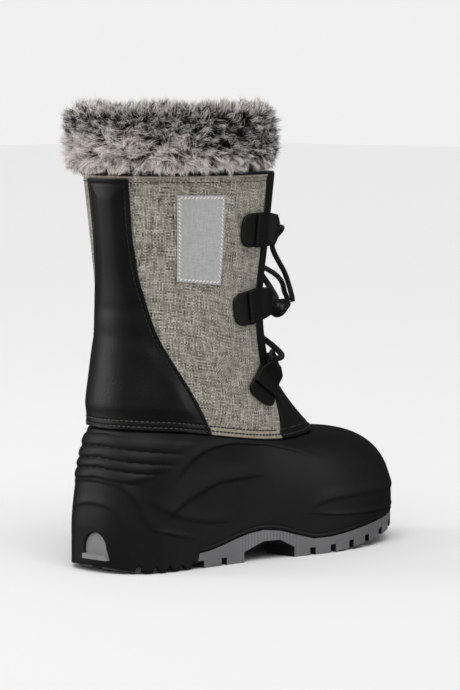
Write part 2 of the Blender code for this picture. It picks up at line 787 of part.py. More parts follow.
def make_tab(name, side, level, tilt, leather):
    """A lace tab: a leather leaf sewn to the shaft, with a fold in front that holds a ring."""
    grid = [
        [
            on_shaft(side, level, tilt, back * TAB_LENGTH, half * TAB_WIDTH * across, TAB_SEAT)
            for across in np.linspace(-1, 1, 4) * -side
        ]
        for back, half in TAB_SHAPE
    ]
    surface = np.array(grid).transpose(1, 0, 2)
    leaf = panel(name, surface, leather, TAB_THICKNESS)
    sides = 10

    def barrel(radius):
        return np.array([
            [
                on_shaft(side, level, tilt, -FOLD_AHEAD + radius * math.cos(a), up,
                         ring_height() + radius * math.sin(a))
                for a in np.linspace(0, 2 * math.pi, sides, endpoint=False)
            ]
            for up in (-FOLD_WIDTH / 2, FOLD_WIDTH / 2)
        ])

    fold = closed_wall(name + "_fold", barrel(FOLD_RADIUS), barrel(FOLD_HOLE), leather)
    return boolean(leaf, fold, "UNION")


def ring_height():
    """Height of the fold's middle over the shaft's skin."""
    return TAB_SEAT + FOLD_RADIUS + SAG


# The ring's rounded nose: how far behind its front and inside its side each point lies.
RING_NOSE = ((3.5, 0.0), (1.1, 1.2), (0.0, 4.0))


def make_ring(name, side, level, tilt, cord):
    """The flat stiff loop that passes through a tab's fold and guides the lace."""
    half = RING_WIDTH / 2 + RING_WIRE
    near, far = -FOLD_AHEAD, -FOLD_AHEAD - RING_LENGTH
    upper = [(near, half - RING_CORNER), (near - RING_CORNER, half)]
    upper += [(far + behind, half - inside) for behind, inside in RING_NOSE]
    flat = upper + [(back, -up) for back, up in reversed(upper)]
    path = [on_shaft(side, level, tilt, back, up, ring_height()) for back, up in flat]
    return tube(name, path, RING_WIRE, cord, sides=1, cyclic=True)


# The lace

def lace_turn(side, number):
    """Three points of the lace round a ring's front wire: over it, through the ring, under it."""
    level, tilt = TABS[number]
    wire = -FOLD_AHEAD - RING_LENGTH
    clear = RING_WIRE + LACE_RADIUS + LACE_CLEAR
    return [
        on_shaft(side, level, tilt, wire, 0, ring_height() + clear),
        on_shaft(side, level, tilt, wire + clear, 0, ring_height()),
        on_shaft(side, level, tilt, wire, 0, ring_height() - clear),
    ]


def front_point(level, distance):
    return offset(shaft_point, np.float64(TOE), np.float64(level), distance)


# Where two runs of the lace cross, the upper one lies this share of a radius and of the shaft's
# height further out and up, and the lowest run dips by a share of the height.
CROSS_LIFT = 0.7
CROSS_STEP = 0.004
LOW_DIP = 0.02


def make_lace(cord):
    """The lace across the throat: two runs that cross between the rings and meet below."""
    top, middle, low = (level for level, tilt in TABS)
    outer, inner = SIDES["lateral"], SIDES["medial"]
    under, over = LACE_OVER_SKIN, LACE_OVER_SKIN + LACE_RADIUS * CROSS_LIFT
    first = [
        lace_turn(outer, 0)[2], front_point((top + middle) / 2, under), *lace_turn(inner, 1),
        front_point((middle + low) / 2, under), *lace_turn(outer, 2), front_point(low - LOW_DIP, under),
        lace_turn(inner, 2)[2],
    ]
    second = [
        lace_turn(inner, 0)[2], front_point((top + middle) / 2 + CROSS_STEP, over), *lace_turn(outer, 1),
        front_point((middle + low) / 2 + CROSS_STEP, over), *lace_turn(inner, 2),
    ]
    runs = [
        meshed(tube(name, smooth_path(points, 3), LACE_RADIUS, cord, sides=1))
        for name, points in (("lace_crossings", first), ("second_run", second))
    ]
    return boolean(runs[0], runs[1], "UNION")


TOGGLE_TIP = (114.7, -4.3, 139.5)
# Shares of the toggle's length and radius along its turned side.
TOGGLE_PROFILE = ((0.0, 0.62), (0.08, 0.9), (0.3, 1.0), (0.55, 0.9), (0.85, 0.62), (1.0, 0.5))
TOGGLE_WIDER = 1.05


def toggle_frame():
    """Tip, direction and foot of the toggle, which points forward and a little up."""
    tip = np.array(TOGGLE_TIP)
    lift = math.radians(TOGGLE_LIFT)
    ahead = np.array([math.cos(lift), 0, math.sin(lift)])
    return tip, ahead, tip - ahead * TOGGLE_LENGTH


def make_toggle(plastic):
    """The cord lock: a turned barrel that swells towards the boot."""
    tip, ahead, foot = toggle_frame()
    up = np.array([-ahead[2], 0, ahead[0]])
    side = np.array([0.0, 1.0, 0.0])
    sides = 12
    rings = [
        [
            foot + ahead * TOGGLE_LENGTH * share
            + TOGGLE_RADIUS * radius * (up * math.sin(a) + side * math.cos(a) * TOGGLE_WIDER)
            for a in np.linspace(0, 2 * math.pi, sides, endpoint=False)
        ]
        for share, radius in TOGGLE_PROFILE
    ]
    faces = grid_faces(len(rings), sides, closed=True)
    faces += [tuple(range(sides)), tuple((len(rings) - 1) * sides + c for c in range(sides))]
    return add_object("toggle", np.array(rings).reshape(-1, 3), faces, plastic)


# The free ends: half their distance apart at the toggle, where they start in their rings, how far
# they swing in below them, the tail that shows, and their points over the toggle's tip, as a
# multiple of the distance apart and a shift.
END_APART = 1.9
END_START = 0.34
END_INWARD = 8.0
END_TAIL = 2.3
END_POINTS = ((2.4, (-7.0, 0.0, 17.0)), (1.3, (0.5, 0.0, 5.0)))


def make_lace_ends(cord):
    """The two free ends, from the top rings down to the toggle's tip, and the short tail."""
    tip, ahead, foot = toggle_frame()
    made = []
    for name, side in (("lace_end_lateral", -1), ("lace_end_medial", 1)):
        over, through, under = lace_turn(side, 0)
        apart = np.array([0, side * END_APART, 0])
        points = [under + (through - under) * END_START, through, over]
        points.append(over + np.array([0.5, -side * END_INWARD, -10.0]))
        points += [tip + apart * spread + np.array(shift) for spread, shift in END_POINTS]
        points.append(tip + apart + ahead * END_TAIL)
        made.append(tube(name, smooth_path(points, 3), LACE_END_RADIUS, cord, sides=1))
    return made


# The fur

def scatter(number, salt):
    """An even-looking number from 0 to 1 for each lock of fur."""
    value = math.sin(number * 12.9898 + salt * 78.233) * 43758.5453
    return value - math.floor(value)


FUR_SECTION = 10
FUR_EDGE = 0.04
FUR_SQUARE = (0.7, 0.75)
LOCKS_ABOVE = -0.6


def make_fur(name, first, last, columns, fur):
    """A roll of fur on the shaft's upper edge, with pointed locks over its round side. It
    hangs over the shaft more at the back than at the front."""
    half_width, half_height = FUR_WIDTH / 2, FUR_HEIGHT / 2
    base = COLLAR_HEIGHT + GAP
    station = np.linspace(first, last, columns)
    top = np.ones_like(station)
    skin = shaft_point(station, top)
    out = normals(shaft_point, station, top)
    out[:, 2] = 0
    out /= np.linalg.norm(out, axis=-1, keepdims=True)
    forward = (1 + out[:, 0]) / 2
    overhang = FUR_OVERHANG_BACK + (FUR_OVERHANG_FRONT - FUR_OVERHANG_BACK) * forward ** 2
    rings = []
    for c in range(columns):
        ring = []
        for k in range(FUR_SECTION):
            turn = 2 * math.pi * k / FUR_SECTION - math.pi / 2
            across, rise = math.cos(turn), math.sin(turn)
            across = math.copysign(abs(across) ** FUR_SQUARE[0], across)
            rise = math.copysign(abs(rise) ** FUR_SQUARE[1], rise)
            locked = (c + k) % 2 and rise > LOCKS_ABOVE and 0 < c < columns - 1
            lock = LOCK_LENGTH * scatter(c * FUR_SECTION + k, 1) if locked else 0.0
            z = base + half_height * (1 + rise) + lock * (rise - 0.4)
            shift = overhang[c] - half_width + across * (half_width + lock)
            ring.append(skin[c] * [1, 1, 0] + out[c] * shift + [0, 0, max(z, base)])
        rings.append(ring)
    faces = grid_faces(columns, FUR_SECTION, closed=True)
    last_ring = (columns - 1) * FUR_SECTION
    faces += [tuple(range(FUR_SECTION)), tuple(last_ring + k for k in range(FUR_SECTION))]
    return add_object(name, np.array(rings).reshape(-1, 3), faces, fur)


def main():
    for stale in list(bpy.data.objects):
        bpy.data.objects.remove(stale)
    black_rubber = material("black_rubber", (0.013, 0.013, 0.014), 0.6)
    grey_rubber = material("grey_rubber", (0.14, 0.14, 0.15), 0.65)
    black_leather = material("black_leather", (0.012, 0.012, 0.012), 0.45)
    cloth = material("melange_cloth", (0.25, 0.23, 0.19), 0.95)
    felt = material("felt", (0.12, 0.12, 0.13), 0.95)
    silver = material("silver_patch", (0.42, 0.43, 0.46), 0.4)
    cord = material("black_cord", (0.015, 0.015, 0.015), 0.8)
    plastic = material("black_plastic", (0.014, 0.014, 0.015), 0.4)
    fur = material("frosted_fur", (0.2, 0.18, 0.18), 0.95)

    make_shell(black_rubber)
    make_outsole(grey_rubber)
    make_heel_insert(grey_rubber)
    make_insole(felt)
    make_shaft(cloth)
    make_backstay(black_leather)
    make_saddle(black_leather)
    make_tongue(cloth)
    make_patch(silver)
    for name, side in SIDES.items():
        make_binding(f"binding_{name}", side, black_leather)
        for number, (level, tilt) in enumerate(TABS):
            make_tab(f"tab_{name}_{number + 1}", side, level, tilt, black_leather)
            make_ring(f"ring_{name}_{number + 1}", side, level, tilt, plastic)
    make_lace(cord)
    make_lace_ends(cord)
    make_toggle(plastic)
    outer, inner = throat_edge(-1, 1.0), throat_edge(1, 1.0)
    make_fur("fur_collar", outer + FUR_EDGE, STATIONS + inner - FUR_EDGE, 46, fur)
    make_fur("fur_tongue", inner + FUR_EDGE, outer - FUR_EDGE, 15, fur)


main()
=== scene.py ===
# %% [markdown]
# # A child's snow boot, dressed
# This lesson takes the plain solids of a snow boot and gives them their looks. The solids are
# the frame: they say where everything is, and nothing here moves them. Each step names the real
# piece, says how it could be made, and builds it. Lengths in the helpers are in millimetres and
# are turned into metres where a mesh is made.

# %% The frame
import math
import bpy
import numpy as np
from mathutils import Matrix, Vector


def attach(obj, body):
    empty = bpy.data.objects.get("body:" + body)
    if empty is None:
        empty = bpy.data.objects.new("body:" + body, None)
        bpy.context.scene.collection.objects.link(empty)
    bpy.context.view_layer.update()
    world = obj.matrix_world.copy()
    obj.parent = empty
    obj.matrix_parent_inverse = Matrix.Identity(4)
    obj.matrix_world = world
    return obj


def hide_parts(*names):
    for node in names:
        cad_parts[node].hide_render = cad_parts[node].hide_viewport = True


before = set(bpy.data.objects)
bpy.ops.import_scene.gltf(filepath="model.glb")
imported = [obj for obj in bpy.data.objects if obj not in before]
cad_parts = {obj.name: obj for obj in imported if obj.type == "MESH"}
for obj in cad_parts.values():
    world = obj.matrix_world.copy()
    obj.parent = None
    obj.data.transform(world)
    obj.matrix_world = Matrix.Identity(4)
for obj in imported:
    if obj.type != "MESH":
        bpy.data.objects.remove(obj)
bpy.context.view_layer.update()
MM = 0.001
print("solids in the frame:", len(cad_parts))

# %% [markdown]
# ## The camera
# The photograph was taken from behind the boot and from its outer side, nearly level, through a
# long lens. The camera looks at a point inside the boot from 1.8 m away, and the lens is as long
# as it takes to let one boot fill the frame.

# %% Camera
# Degrees round from straight behind, then metres away and up.
CAMERA_BEHIND = 46.0
CAMERA_AWAY = 1.80
CAMERA_HIGH = 0.270
LENS = 172.0
LOOK_AT = Vector((0.066, -0.006, 0.118))

turn = math.radians(CAMERA_BEHIND)
bpy.ops.object.camera_add()
camera = bpy.context.object
camera.name = "photo_camera"
camera.location = (-CAMERA_AWAY * math.cos(turn), -CAMERA_AWAY * math.sin(turn), CAMERA_HIGH)
camera.rotation_euler = (LOOK_AT - camera.location).to_track_quat("-Z", "Y").to_euler()
camera.data.sensor_fit = "VERTICAL"
camera.data.sensor_height = 36.0
camera.data.lens = LENS
camera.data.clip_end = 20.0
bpy.context.scene.camera = camera
print("camera", [round(v, 3) for v in camera.location])

# %% [markdown]
# ## The shape of the foot
# A boot is built round a last, a wooden or plastic foot. The tables here are that last: a row for
# each station round the foot from the back of the heel, inner side first, and a row for each
# level up the shaft. Two functions turn them into skins. Every panel below is cut from one of
# the two skins, so all panels fit each other.

# %% The last
SOLE_LENGTH = 228.0
HEEL_SETBACK = 35.5
BALL_WIDTH = 90.0
HEEL_WIDTH = 69.0
SKIRT_HEIGHT = 24.0
TOPLINE_HEIGHT = 77.0
COLLAR_HEIGHT = 216.0
SHAFT_DEPTH = 116.0
SHAFT_WIDTH = 90.0
SHAFT_WALL = 2.6
SHELL_WALL = 3.0
TOE_X = SOLE_LENGTH - HEEL_SETBACK
HEEL_STEP_X = 12.0
ARCH_PEAK_X = 62.0
RIM_LEVEL_X = 103.0
SPRING_START_X = 0.46 * TOE_X
BEVEL_START_X = -0.45 * HEEL_SETBACK
RIM_HEIGHT = 9.0
ARCH_HEIGHT = 17.5
RIM_SPRING = 8.5
HEEL_BEVEL = 3.0
SKIRT_CLEARANCE = 0.6
GAP = 0.3

LAST_COLUMNS = ("sole_x", "sole_y", "top_x", "top_y", "top_z", "round")
LAST = np.array([
    (0.000, 0.000, 0.000, 0.000, 1.000, 0.35),
    (0.016, 0.272, 0.030, 0.255, 1.000, 0.35),
    (0.090, 0.465, 0.140, 0.450, 0.985, 0.40),
    (0.240, 0.490, 0.310, 0.500, 0.935, 0.50),
    (0.400, 0.460, 0.500, 0.490, 0.880, 0.60),
    (0.550, 0.455, 0.660, 0.440, 0.850, 0.75),
    (0.700, 0.495, 0.800, 0.360, 0.850, 0.90),
    (0.840, 0.460, 0.910, 0.250, 0.858, 1.00),
    (0.955, 0.290, 0.980, 0.130, 0.868, 1.00),
    (1.000, 0.030, 1.000, 0.010, 0.872, 1.00),
    (0.965, -0.230, 0.980, -0.120, 0.868, 1.00),
    (0.865, -0.420, 0.910, -0.250, 0.858, 1.00),
    (0.720, -0.500, 0.800, -0.360, 0.850, 0.90),
    (0.560, -0.495, 0.660, -0.440, 0.850, 0.75),
    (0.400, -0.480, 0.500, -0.490, 0.880, 0.60),
    (0.240, -0.500, 0.310, -0.500, 0.935, 0.50),
    (0.090, -0.465, 0.140, -0.450, 0.985, 0.40),
    (0.016, -0.272, 0.030, -0.255, 1.000, 0.35),
])
STATIONS = len(LAST)
TOE = STATIONS / 2

SHAFT_COLUMNS = ("height", "back", "front", "width", "throat")
SHAFT = np.array([
    (0.00, -0.207, 1.155, 0.800, 4.05),
    (0.10, -0.196, 0.990, 0.810, 3.25),
    (0.20, -0.178, 0.860, 0.830, 2.72),
    (0.32, -0.164, 0.758, 0.850, 2.42),
    (0.50, -0.160, 0.707, 0.870, 2.35),
    (0.75, -0.187, 0.733, 0.940, 2.35),
    (1.00, -0.224, 0.776, 1.000, 2.45),
])


def smooth(value, low, high):
    """0 below low, 1 above high, with a soft turn at both."""
    share = np.clip((value - low) / (high - low), 0, 1)
    return share * share * (3 - 2 * share)


def unit(vectors):
    """Vectors of length one."""
    return vectors / np.linalg.norm(vectors, axis=-1, keepdims=True)


def last_at(column, station):
    """A column of LAST at any station, on a closed curve through its rows."""
    values = LAST[:, LAST_COLUMNS.index(column)]
    base = np.floor(station)
    share = station - base
    index = base.astype(int)
    p0, p1, p2, p3 = (values[(index + step) % STATIONS] for step in (-1, 0, 1, 2))
    return p1 + 0.5 * share * (
        p2 - p0 + share * (2 * p0 - 5 * p1 + 4 * p2 - p3 + share * (3 * (p1 - p2) + p3 - p0))
    )


def shaft_at(column, level):
    """A column of SHAFT at any level, on a curve with the rows' own slopes."""
    levels = SHAFT[:, 0]
    values = SHAFT[:, SHAFT_COLUMNS.index(column)]
    slopes = np.gradient(values, levels)
    index = np.clip(np.searchsorted(levels, level, side="right") - 1, 0, len(levels) - 2)
    width = levels[index + 1] - levels[index]
    s = (level - levels[index]) / width
    return (
        (1 + 2 * s) * (1 - s) ** 2 * values[index]
        + s * (1 - s) ** 2 * width * slopes[index]
        + s * s * (3 - 2 * s) * values[index + 1]
        + s * s * (s - 1) * width * slopes[index + 1]
    )


def sole_edge(station):
    """The sole's outline: x and y at each station."""
    share = last_at("sole_x", station)
    width = HEEL_WIDTH + (BALL_WIDTH - HEEL_WIDTH) * smooth(share, 0.2, 0.68)
    return share * SOLE_LENGTH - HEEL_SETBACK, last_at("sole_y", station) * width


def shaft_point(station, level):
    """The outer skin of the shaft, from the shell's opening at level 0 to the collar at 1."""
    back = shaft_at("back", level) * SHAFT_DEPTH
    front = shaft_at("front", level) * SHAFT_DEPTH
    half_width = shaft_at("width", level) * SHAFT_WIDTH / 2
    turn = math.pi * station / TOE
    oval = smooth(level, 0.0, 0.4)
    across = np.sin(turn)
    along = (1 - oval) * (2 * last_at("top_x", station) - 1) - oval * np.cos(turn)
    side = (1 - oval) * 2 * last_at("top_y", station) + oval * np.sign(across) * np.abs(across) ** 0.92
    low = last_at("top_z", station) * TOPLINE_HEIGHT
    return np.stack([
        (back + front) / 2 + along * (front - back) / 2,
        side * half_width,
        low + (COLLAR_HEIGHT - low) * level,
    ], axis=-1)


def shell_point(station, level):
    """The outer skin of the rubber shell, from the floor at level -1 to its opening at 1."""
    x, y = sole_edge(station)
    top = shaft_point(station, np.zeros_like(station))
    up = np.clip(level, 0, 1)
    turn = up * math.pi / 2
    power = 2 / 2.35
    bow = last_at("round", station)
    inward = (1 - bow) * up ** 1.15 + bow * (1 - np.cos(turn) ** power)
    rise = (1 - bow) * up + bow * np.sin(turn) ** power
    z = SKIRT_HEIGHT + (top[..., 2] - SKIRT_HEIGHT) * rise + SKIRT_HEIGHT * np.minimum(level, 0)
    return np.stack([x + (top[..., 0] - x) * inward, y + (top[..., 1] - y) * inward, z], axis=-1)


def normals(skin, station, level):
    """The outward direction of a skin, from two small steps along it."""
    step = 0.02
    low = -1 if skin is shell_point else 0
    along = skin(station + step, level) - skin(station - step, level)
    above, below = np.minimum(level + step, 1), np.maximum(level - step, low)
    upward = skin(station, above) - skin(station, below)
    return unit(np.cross(upward, along))


def offset(skin, station, level, distance):
    """Points at a distance outside a skin, or inside where it is negative."""
    return skin(station, level) + normals(skin, station, level) * np.asarray(distance)[..., None]


def throat_edge(side, level):
    """Station of the shaft's front edge: side -1 is the outer side of the foot, 1 the inner."""
    return TOE - side * shaft_at("throat", level)


def rim_z(x):
    """The line where the shell's lower edge meets the grey sole."""
    arch = smooth(x, HEEL_STEP_X, ARCH_PEAK_X) * (1 - smooth(x, ARCH_PEAK_X, RIM_LEVEL_X))
    return RIM_HEIGHT + (ARCH_HEIGHT - RIM_HEIGHT) * arch + RIM_SPRING * smooth(x, SPRING_START_X, TOE_X)


print("boot height over the floor:", round(float(shaft_point(0.0, 1.0)[2])), "mm to the collar")

# %% [markdown]
# ## Ways of making a panel
# A maker cuts a panel from flat stock, bends it round the last and sews it down. Here a panel is
# a primitive grid whose corners are laid on the skin, row by row, and then given its thickness
# by Solidify. Its UV map holds real lengths along and up the panel, so that a weave or a
# grain keeps its size. A ring of wall is the same with its two ends merged.

# %% Panel helpers
MERGE_WITHIN = 0.00001
BEVEL_STEPS, BEVEL_ANGLE, SMOOTH_ANGLE = 3, 50, 38


def deselect():
    """Clears the selection, as each operator here expects."""
    bpy.ops.object.select_all(action="DESELECT")


def sole_selection(piece):
    """Makes one piece the active and only selected object."""
    deselect()
    piece.select_set(True)
    bpy.context.view_layer.objects.active = piece


def edit(piece, operator, **settings):
    """Runs one edit-mode tool on the whole mesh of a piece."""
    sole_selection(piece)
    bpy.ops.object.mode_set(mode="EDIT")
    bpy.ops.mesh.select_all(action="SELECT")
    operator(**settings)
    bpy.ops.object.mode_set(mode="OBJECT")


def face_out(piece):
    """Points all faces of a closed piece outward."""
    edit(piece, bpy.ops.mesh.normals_make_consistent, inside=False)


def close_ends(piece, angle):
    """Fills the open ends of a piece, points its faces outward and smooths its sides."""
    edit(piece, bpy.ops.mesh.fill_holes, sides=0)
    face_out(piece)
    shade(piece, angle)
    return piece


def run_lengths(points, axis):
    """Millimetres from the first row or column, measured along the grid."""
    steps = np.linalg.norm(np.diff(points, axis=axis), axis=-1)
    pad = [(0, 0), (0, 0)]
    pad[axis] = (1, 0)
    return np.cumsum(np.pad(steps, pad), axis=axis)


def panel(name, points, thickness=0.0, outward=True, closed=False, bevel=0.0):
    """A grid of points in millimetres, rows upward and columns by rising station, as a panel."""
    rows, columns = points.shape[:2]
    deselect()
    bpy.ops.mesh.primitive_grid_add(x_subdivisions=columns - 1, y_subdivisions=rows - 1, size=1)
    piece = bpy.context.object
    piece.name = name
    mesh = piece.data
    mesh.vertices.foreach_set("co", (points * MM).astype(np.float32).ravel())
    middle = run_lengths(points, 1)[rows // 2][None, :].repeat(rows, 0)
    uv = np.stack([middle, run_lengths(points, 0)], -1).reshape(-1, 2) * MM
    index = np.zeros(len(mesh.loops), dtype=np.int32)
    mesh.loops.foreach_get("vertex_index", index)
    mesh.uv_layers[0].data.foreach_set("uv", uv[index].astype(np.float32).ravel())
    mesh.flip_normals()
    if closed:
        edit(piece, bpy.ops.mesh.remove_doubles, threshold=MERGE_WITHIN)
    if thickness:
        apply_modifier(piece, "SOLIDIFY", thickness=thickness * MM, offset=1 if outward else -1)
    if bevel:
        apply_modifier(
            piece, "BEVEL", width=bevel * MM, segments=BEVEL_STEPS, limit_method="ANGLE",
            angle_limit=math.radians(BEVEL_ANGLE),
        )
    shade(piece)
    return piece


def apply_modifier(piece, kind, **settings):
    """Adds a modifier with its settings and applies it at once."""
    step = piece.modifiers.new(kind.title(), kind)
    for key, value in settings.items():
        setattr(step, key, value)
    sole_selection(piece)
    bpy.ops.object.modifier_apply(modifier=step.name)


def shade(piece, angle=SMOOTH_ANGLE):
    """Smooths a piece and keeps the edges that turn by more than an angle in degrees."""
    sole_selection(piece)
    bpy.ops.object.shade_smooth_by_angle(angle=math.radians(angle))


def finish_piece(piece, finish, slot, *stands_for):
    """Gives a piece its material, ties it to the boot, and hides its plain solids; the slot is not used."""
    piece.data.materials.clear()
    piece.data.materials.append(finish)
    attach(piece, "root")
    if stands_for:
        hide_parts(*stands_for)
    return piece


def on_skin(side, station, level, tilt, back, up, distance):
    """A point beside a place on the shaft: back and up are millimetres along the skin in a
    frame tilted by some degrees, and distance is the height over the skin."""
    s, w, step = np.float64(station), np.float64(level), 0.01
    along = np.linalg.norm(shaft_point(s + step, w) - shaft_point(s - step, w)) / (2 * step)
    upward = np.linalg.norm(shaft_point(s, w + step) - shaft_point(s, w - step)) / (2 * step)
    lean = math.radians(tilt)
    run = back * math.cos(lean) + up * math.sin(lean)
    rise = -back * math.sin(lean) + up * math.cos(lean)
    place = np.float64(s - side * run / along)
    return offset(shaft_point, place, np.float64(w + rise / upward), distance)


def wrinkle(station, level, creases):
    """Height of soft creases: rows of station, level, reach along, reach up, tilt, depth."""
    height = np.zeros(np.broadcast(station, level).shape)
    for s0, w0, along, up, tilt, depth in creases:
        s = (station - s0 + TOE) % STATIONS - TOE
        w = level - w0 - tilt * s
        height += depth * np.exp(-(s / along) ** 2) * np.exp(-(w / up) ** 2)
    return height


print("panel helpers ready")

# %% [markdown]
# ## Shared surface effects
# Several finishes need a fine grain that catches the light with a slow change of tone, and others
# a woven structure. Both are shader groups with named sockets, built once and set to their own
# size in each material.

# %% Shader groups
def socket_group(name, inputs, outputs):
    """An empty shader group with named float, colour or vector sockets."""
    tree = bpy.data.node_groups.new(name, "ShaderNodeTree")
    for direction, rows in (("INPUT", inputs), ("OUTPUT", outputs)):
        for label, kind, value in rows:
            made = tree.interface.new_socket(name=label, in_out=direction, socket_type=kind)
            if value is not None:
                made.default_value = value
    return tree, tree.nodes.new("NodeGroupInput"), tree.nodes.new("NodeGroupOutput")


def node(tree, kind, inputs=None, **settings):
    """A node with its settings, whose inputs are values or sockets to link from."""
    made = tree.nodes.new("ShaderNode" + kind)
    for key, value in settings.items():
        setattr(made, key, value)
    for key, value in (inputs or {}).items():
        if isinstance(value, bpy.types.NodeSocket):
            tree.links.new(value, made.inputs[key])
        else:
            made.inputs[key].default_value = value
    return made


def maths(tree, operation, a, b=0.0, c=0.0):
    """A maths node's result, from values or sockets."""
    return node(tree, "Math", {0: a, 1: b, 2: c}, operation=operation).outputs[0]


def mix(tree, factor, first, second, blend="MIX"):
    """A colour between two, or the second laid over the first in another way."""
    made = node(tree, "Mix", {0: factor, 6: first, 7: second}, data_type="RGBA", blend_type=blend)
    return made.outputs[2]


FLOAT, VECTOR = "NodeSocketFloat", "NodeSocketVector"


def build_grain():
    """Fine pores and a slow change of tone, both from the piece's own coordinates."""
    tree, given, out = socket_group(
        "grain",
        [("Vector", VECTOR, None), ("Pores per metre", FLOAT, 900.0), ("Patches per metre", FLOAT, 25.0)],
        [("Height", FLOAT, None), ("Tone", FLOAT, None)],
    )
    cells = node(tree, "TexVoronoi", {"Vector": given.outputs[0], "Scale": given.outputs[1]},
                 feature="SMOOTH_F1")
    cells.inputs["Smoothness"].default_value = 0.6
    fine = node(tree, "TexNoise", {"Vector": given.outputs[0], "Scale": given.outputs[1], "Detail": 3.0})
    slow = node(tree, "TexNoise", {"Vector": given.outputs[0], "Scale": given.outputs[2], "Detail": 4.0})
    height = maths(tree, "MULTIPLY_ADD", cells.outputs["Distance"], 0.6, fine.outputs["Fac"])
    tree.links.new(height, out.inputs["Height"])
    tree.links.new(slow.outputs["Fac"], out.inputs["Tone"])
    return tree


def build_weave():
    """A plain weave: which yarn is on top, how far it bulges, and a number for each yarn."""
    tree, given, out = socket_group(
        "weave",
        [("Vector", VECTOR, None), ("Yarns per metre", FLOAT, 1000.0)],
        [(label, FLOAT, None) for label in ("Height", "Warp tone", "Weft tone", "Over")],
    )
    wobble = node(tree, "TexNoise", {"Vector": given.outputs[0], "Scale": 140.0, "Detail": 2.0})
    shift = node(tree, "VectorMath", {0: wobble.outputs["Color"], 1: (0.5, 0.5, 0.5)}, operation="SUBTRACT")
    small = node(tree, "VectorMath", {0: shift.outputs[0], "Scale": 0.0009}, operation="SCALE")
    placed = node(tree, "VectorMath", {0: given.outputs[0], 1: small.outputs[0]}, operation="ADD")
    scaled = node(tree, "VectorMath", {0: placed.outputs[0], "Scale": given.outputs[1]}, operation="SCALE")
    parts = node(tree, "SeparateXYZ", {0: scaled.outputs[0]})
    u, v = parts.outputs[0], parts.outputs[1]
    warp, weft = maths(tree, "FLOOR", u), maths(tree, "FLOOR", v)
    over = maths(tree, "MODULO", maths(tree, "ABSOLUTE", maths(tree, "ADD", warp, weft)), 2.0)
    round_u = maths(tree, "SINE", maths(tree, "MULTIPLY", maths(tree, "FRACT", u), math.pi))
    round_v = maths(tree, "SINE", maths(tree, "MULTIPLY", maths(tree, "FRACT", v), math.pi))
    warp_height = maths(tree, "MULTIPLY", round_u, maths(tree, "MULTIPLY_ADD", round_v, 0.5, 0.5))
    weft_height = maths(tree, "MULTIPLY", round_v, maths(tree, "MULTIPLY_ADD", round_u, 0.5, 0.5))
    height = node(tree, "Mix", {0: over, 2: weft_height, 3: warp_height}, data_type="FLOAT")
    tones = []
    for own, along in ((warp, v), (weft, u)):
        place = node(tree, "CombineXYZ", {0: own, 1: maths(tree, "MULTIPLY", along, 0.06)})
        tones.append(node(tree, "TexNoise", {"Vector": place.outputs[0], "Scale": 1.7, "Detail": 4.0}))
    tree.links.new(height.outputs[0], out.inputs["Height"])
    tree.links.new(tones[0].outputs["Fac"], out.inputs["Warp tone"])
    tree.links.new(tones[1].outputs["Fac"], out.inputs["Weft tone"])
    tree.links.new(over, out.inputs["Over"])
    return tree


GRAIN = build_grain()
WEAVE = build_weave()
print("shader groups:", [group.name for group in bpy.data.node_groups])

# %% [markdown]
# ## The finishes
# The shell is matt moulded rubber, nearly black. The leather is coated and a little shiny. The
# shaft is a heathered cloth of cream, beige and dark yarns, which only looks right when every
# yarn has its own tone. A finish starts from the Principled shader, and what changes over the
# surface is linked into it.

# %% Plain finishes with grain
def start_material(name, colour, roughness, **sockets):
    """A material with the Principled shader's own values set."""
    made = bpy.data.materials.new(name)
    made.use_nodes = True
    shader = made.node_tree.nodes["Principled BSDF"]
    shader.inputs["Base Color"].default_value = (*colour, 1)
    shader.inputs["Roughness"].default_value = roughness
    for label, value in sockets.items():
        shader.inputs[label.replace("_", " ")].default_value = value
    return made, made.node_tree, shader


def grey(value):
    """An even grey as a colour."""
    return value, value, value


def ramp(tree, factor, stops):
    """A colour ramp: pairs of place and colour."""
    made = node(tree, "ValToRGB", {"Fac": factor})
    band = made.color_ramp
    while len(band.elements) < len(stops):
        band.elements.new(0.5)
    for element, (place, colour) in zip(band.elements, stops):
        element.position = place
        element.color = (*colour, 1)
    return made.outputs["Color"]


def grained(name, dark, light, roughness, pores, bump, patches=25.0, spread=0.12, **sockets):
    """A finish with fine pores, a slow change of tone and of gloss."""
    made, tree, shader = start_material(name, dark, roughness, **sockets)
    place = node(tree, "TexCoord").outputs["Object"]
    grain = node(tree, "Group")
    grain.node_tree = GRAIN
    tree.links.new(place, grain.inputs["Vector"])
    grain.inputs["Pores per metre"].default_value = pores
    grain.inputs["Patches per metre"].default_value = patches
    colour = ramp(tree, grain.outputs["Tone"], [(0.3, dark), (0.75, light)])
    tree.links.new(colour, shader.inputs["Base Color"])
    gloss = maths(tree, "MULTIPLY_ADD", grain.outputs["Tone"], spread, roughness - spread / 2)
    tree.links.new(gloss, shader.inputs["Roughness"])
    relief = node(tree, "Bump", {"Strength": 0.5, "Distance": bump * MM, "Height": grain.outputs["Height"]})
    tree.links.new(relief.outputs["Normal"], shader.inputs["Normal"])
    return made


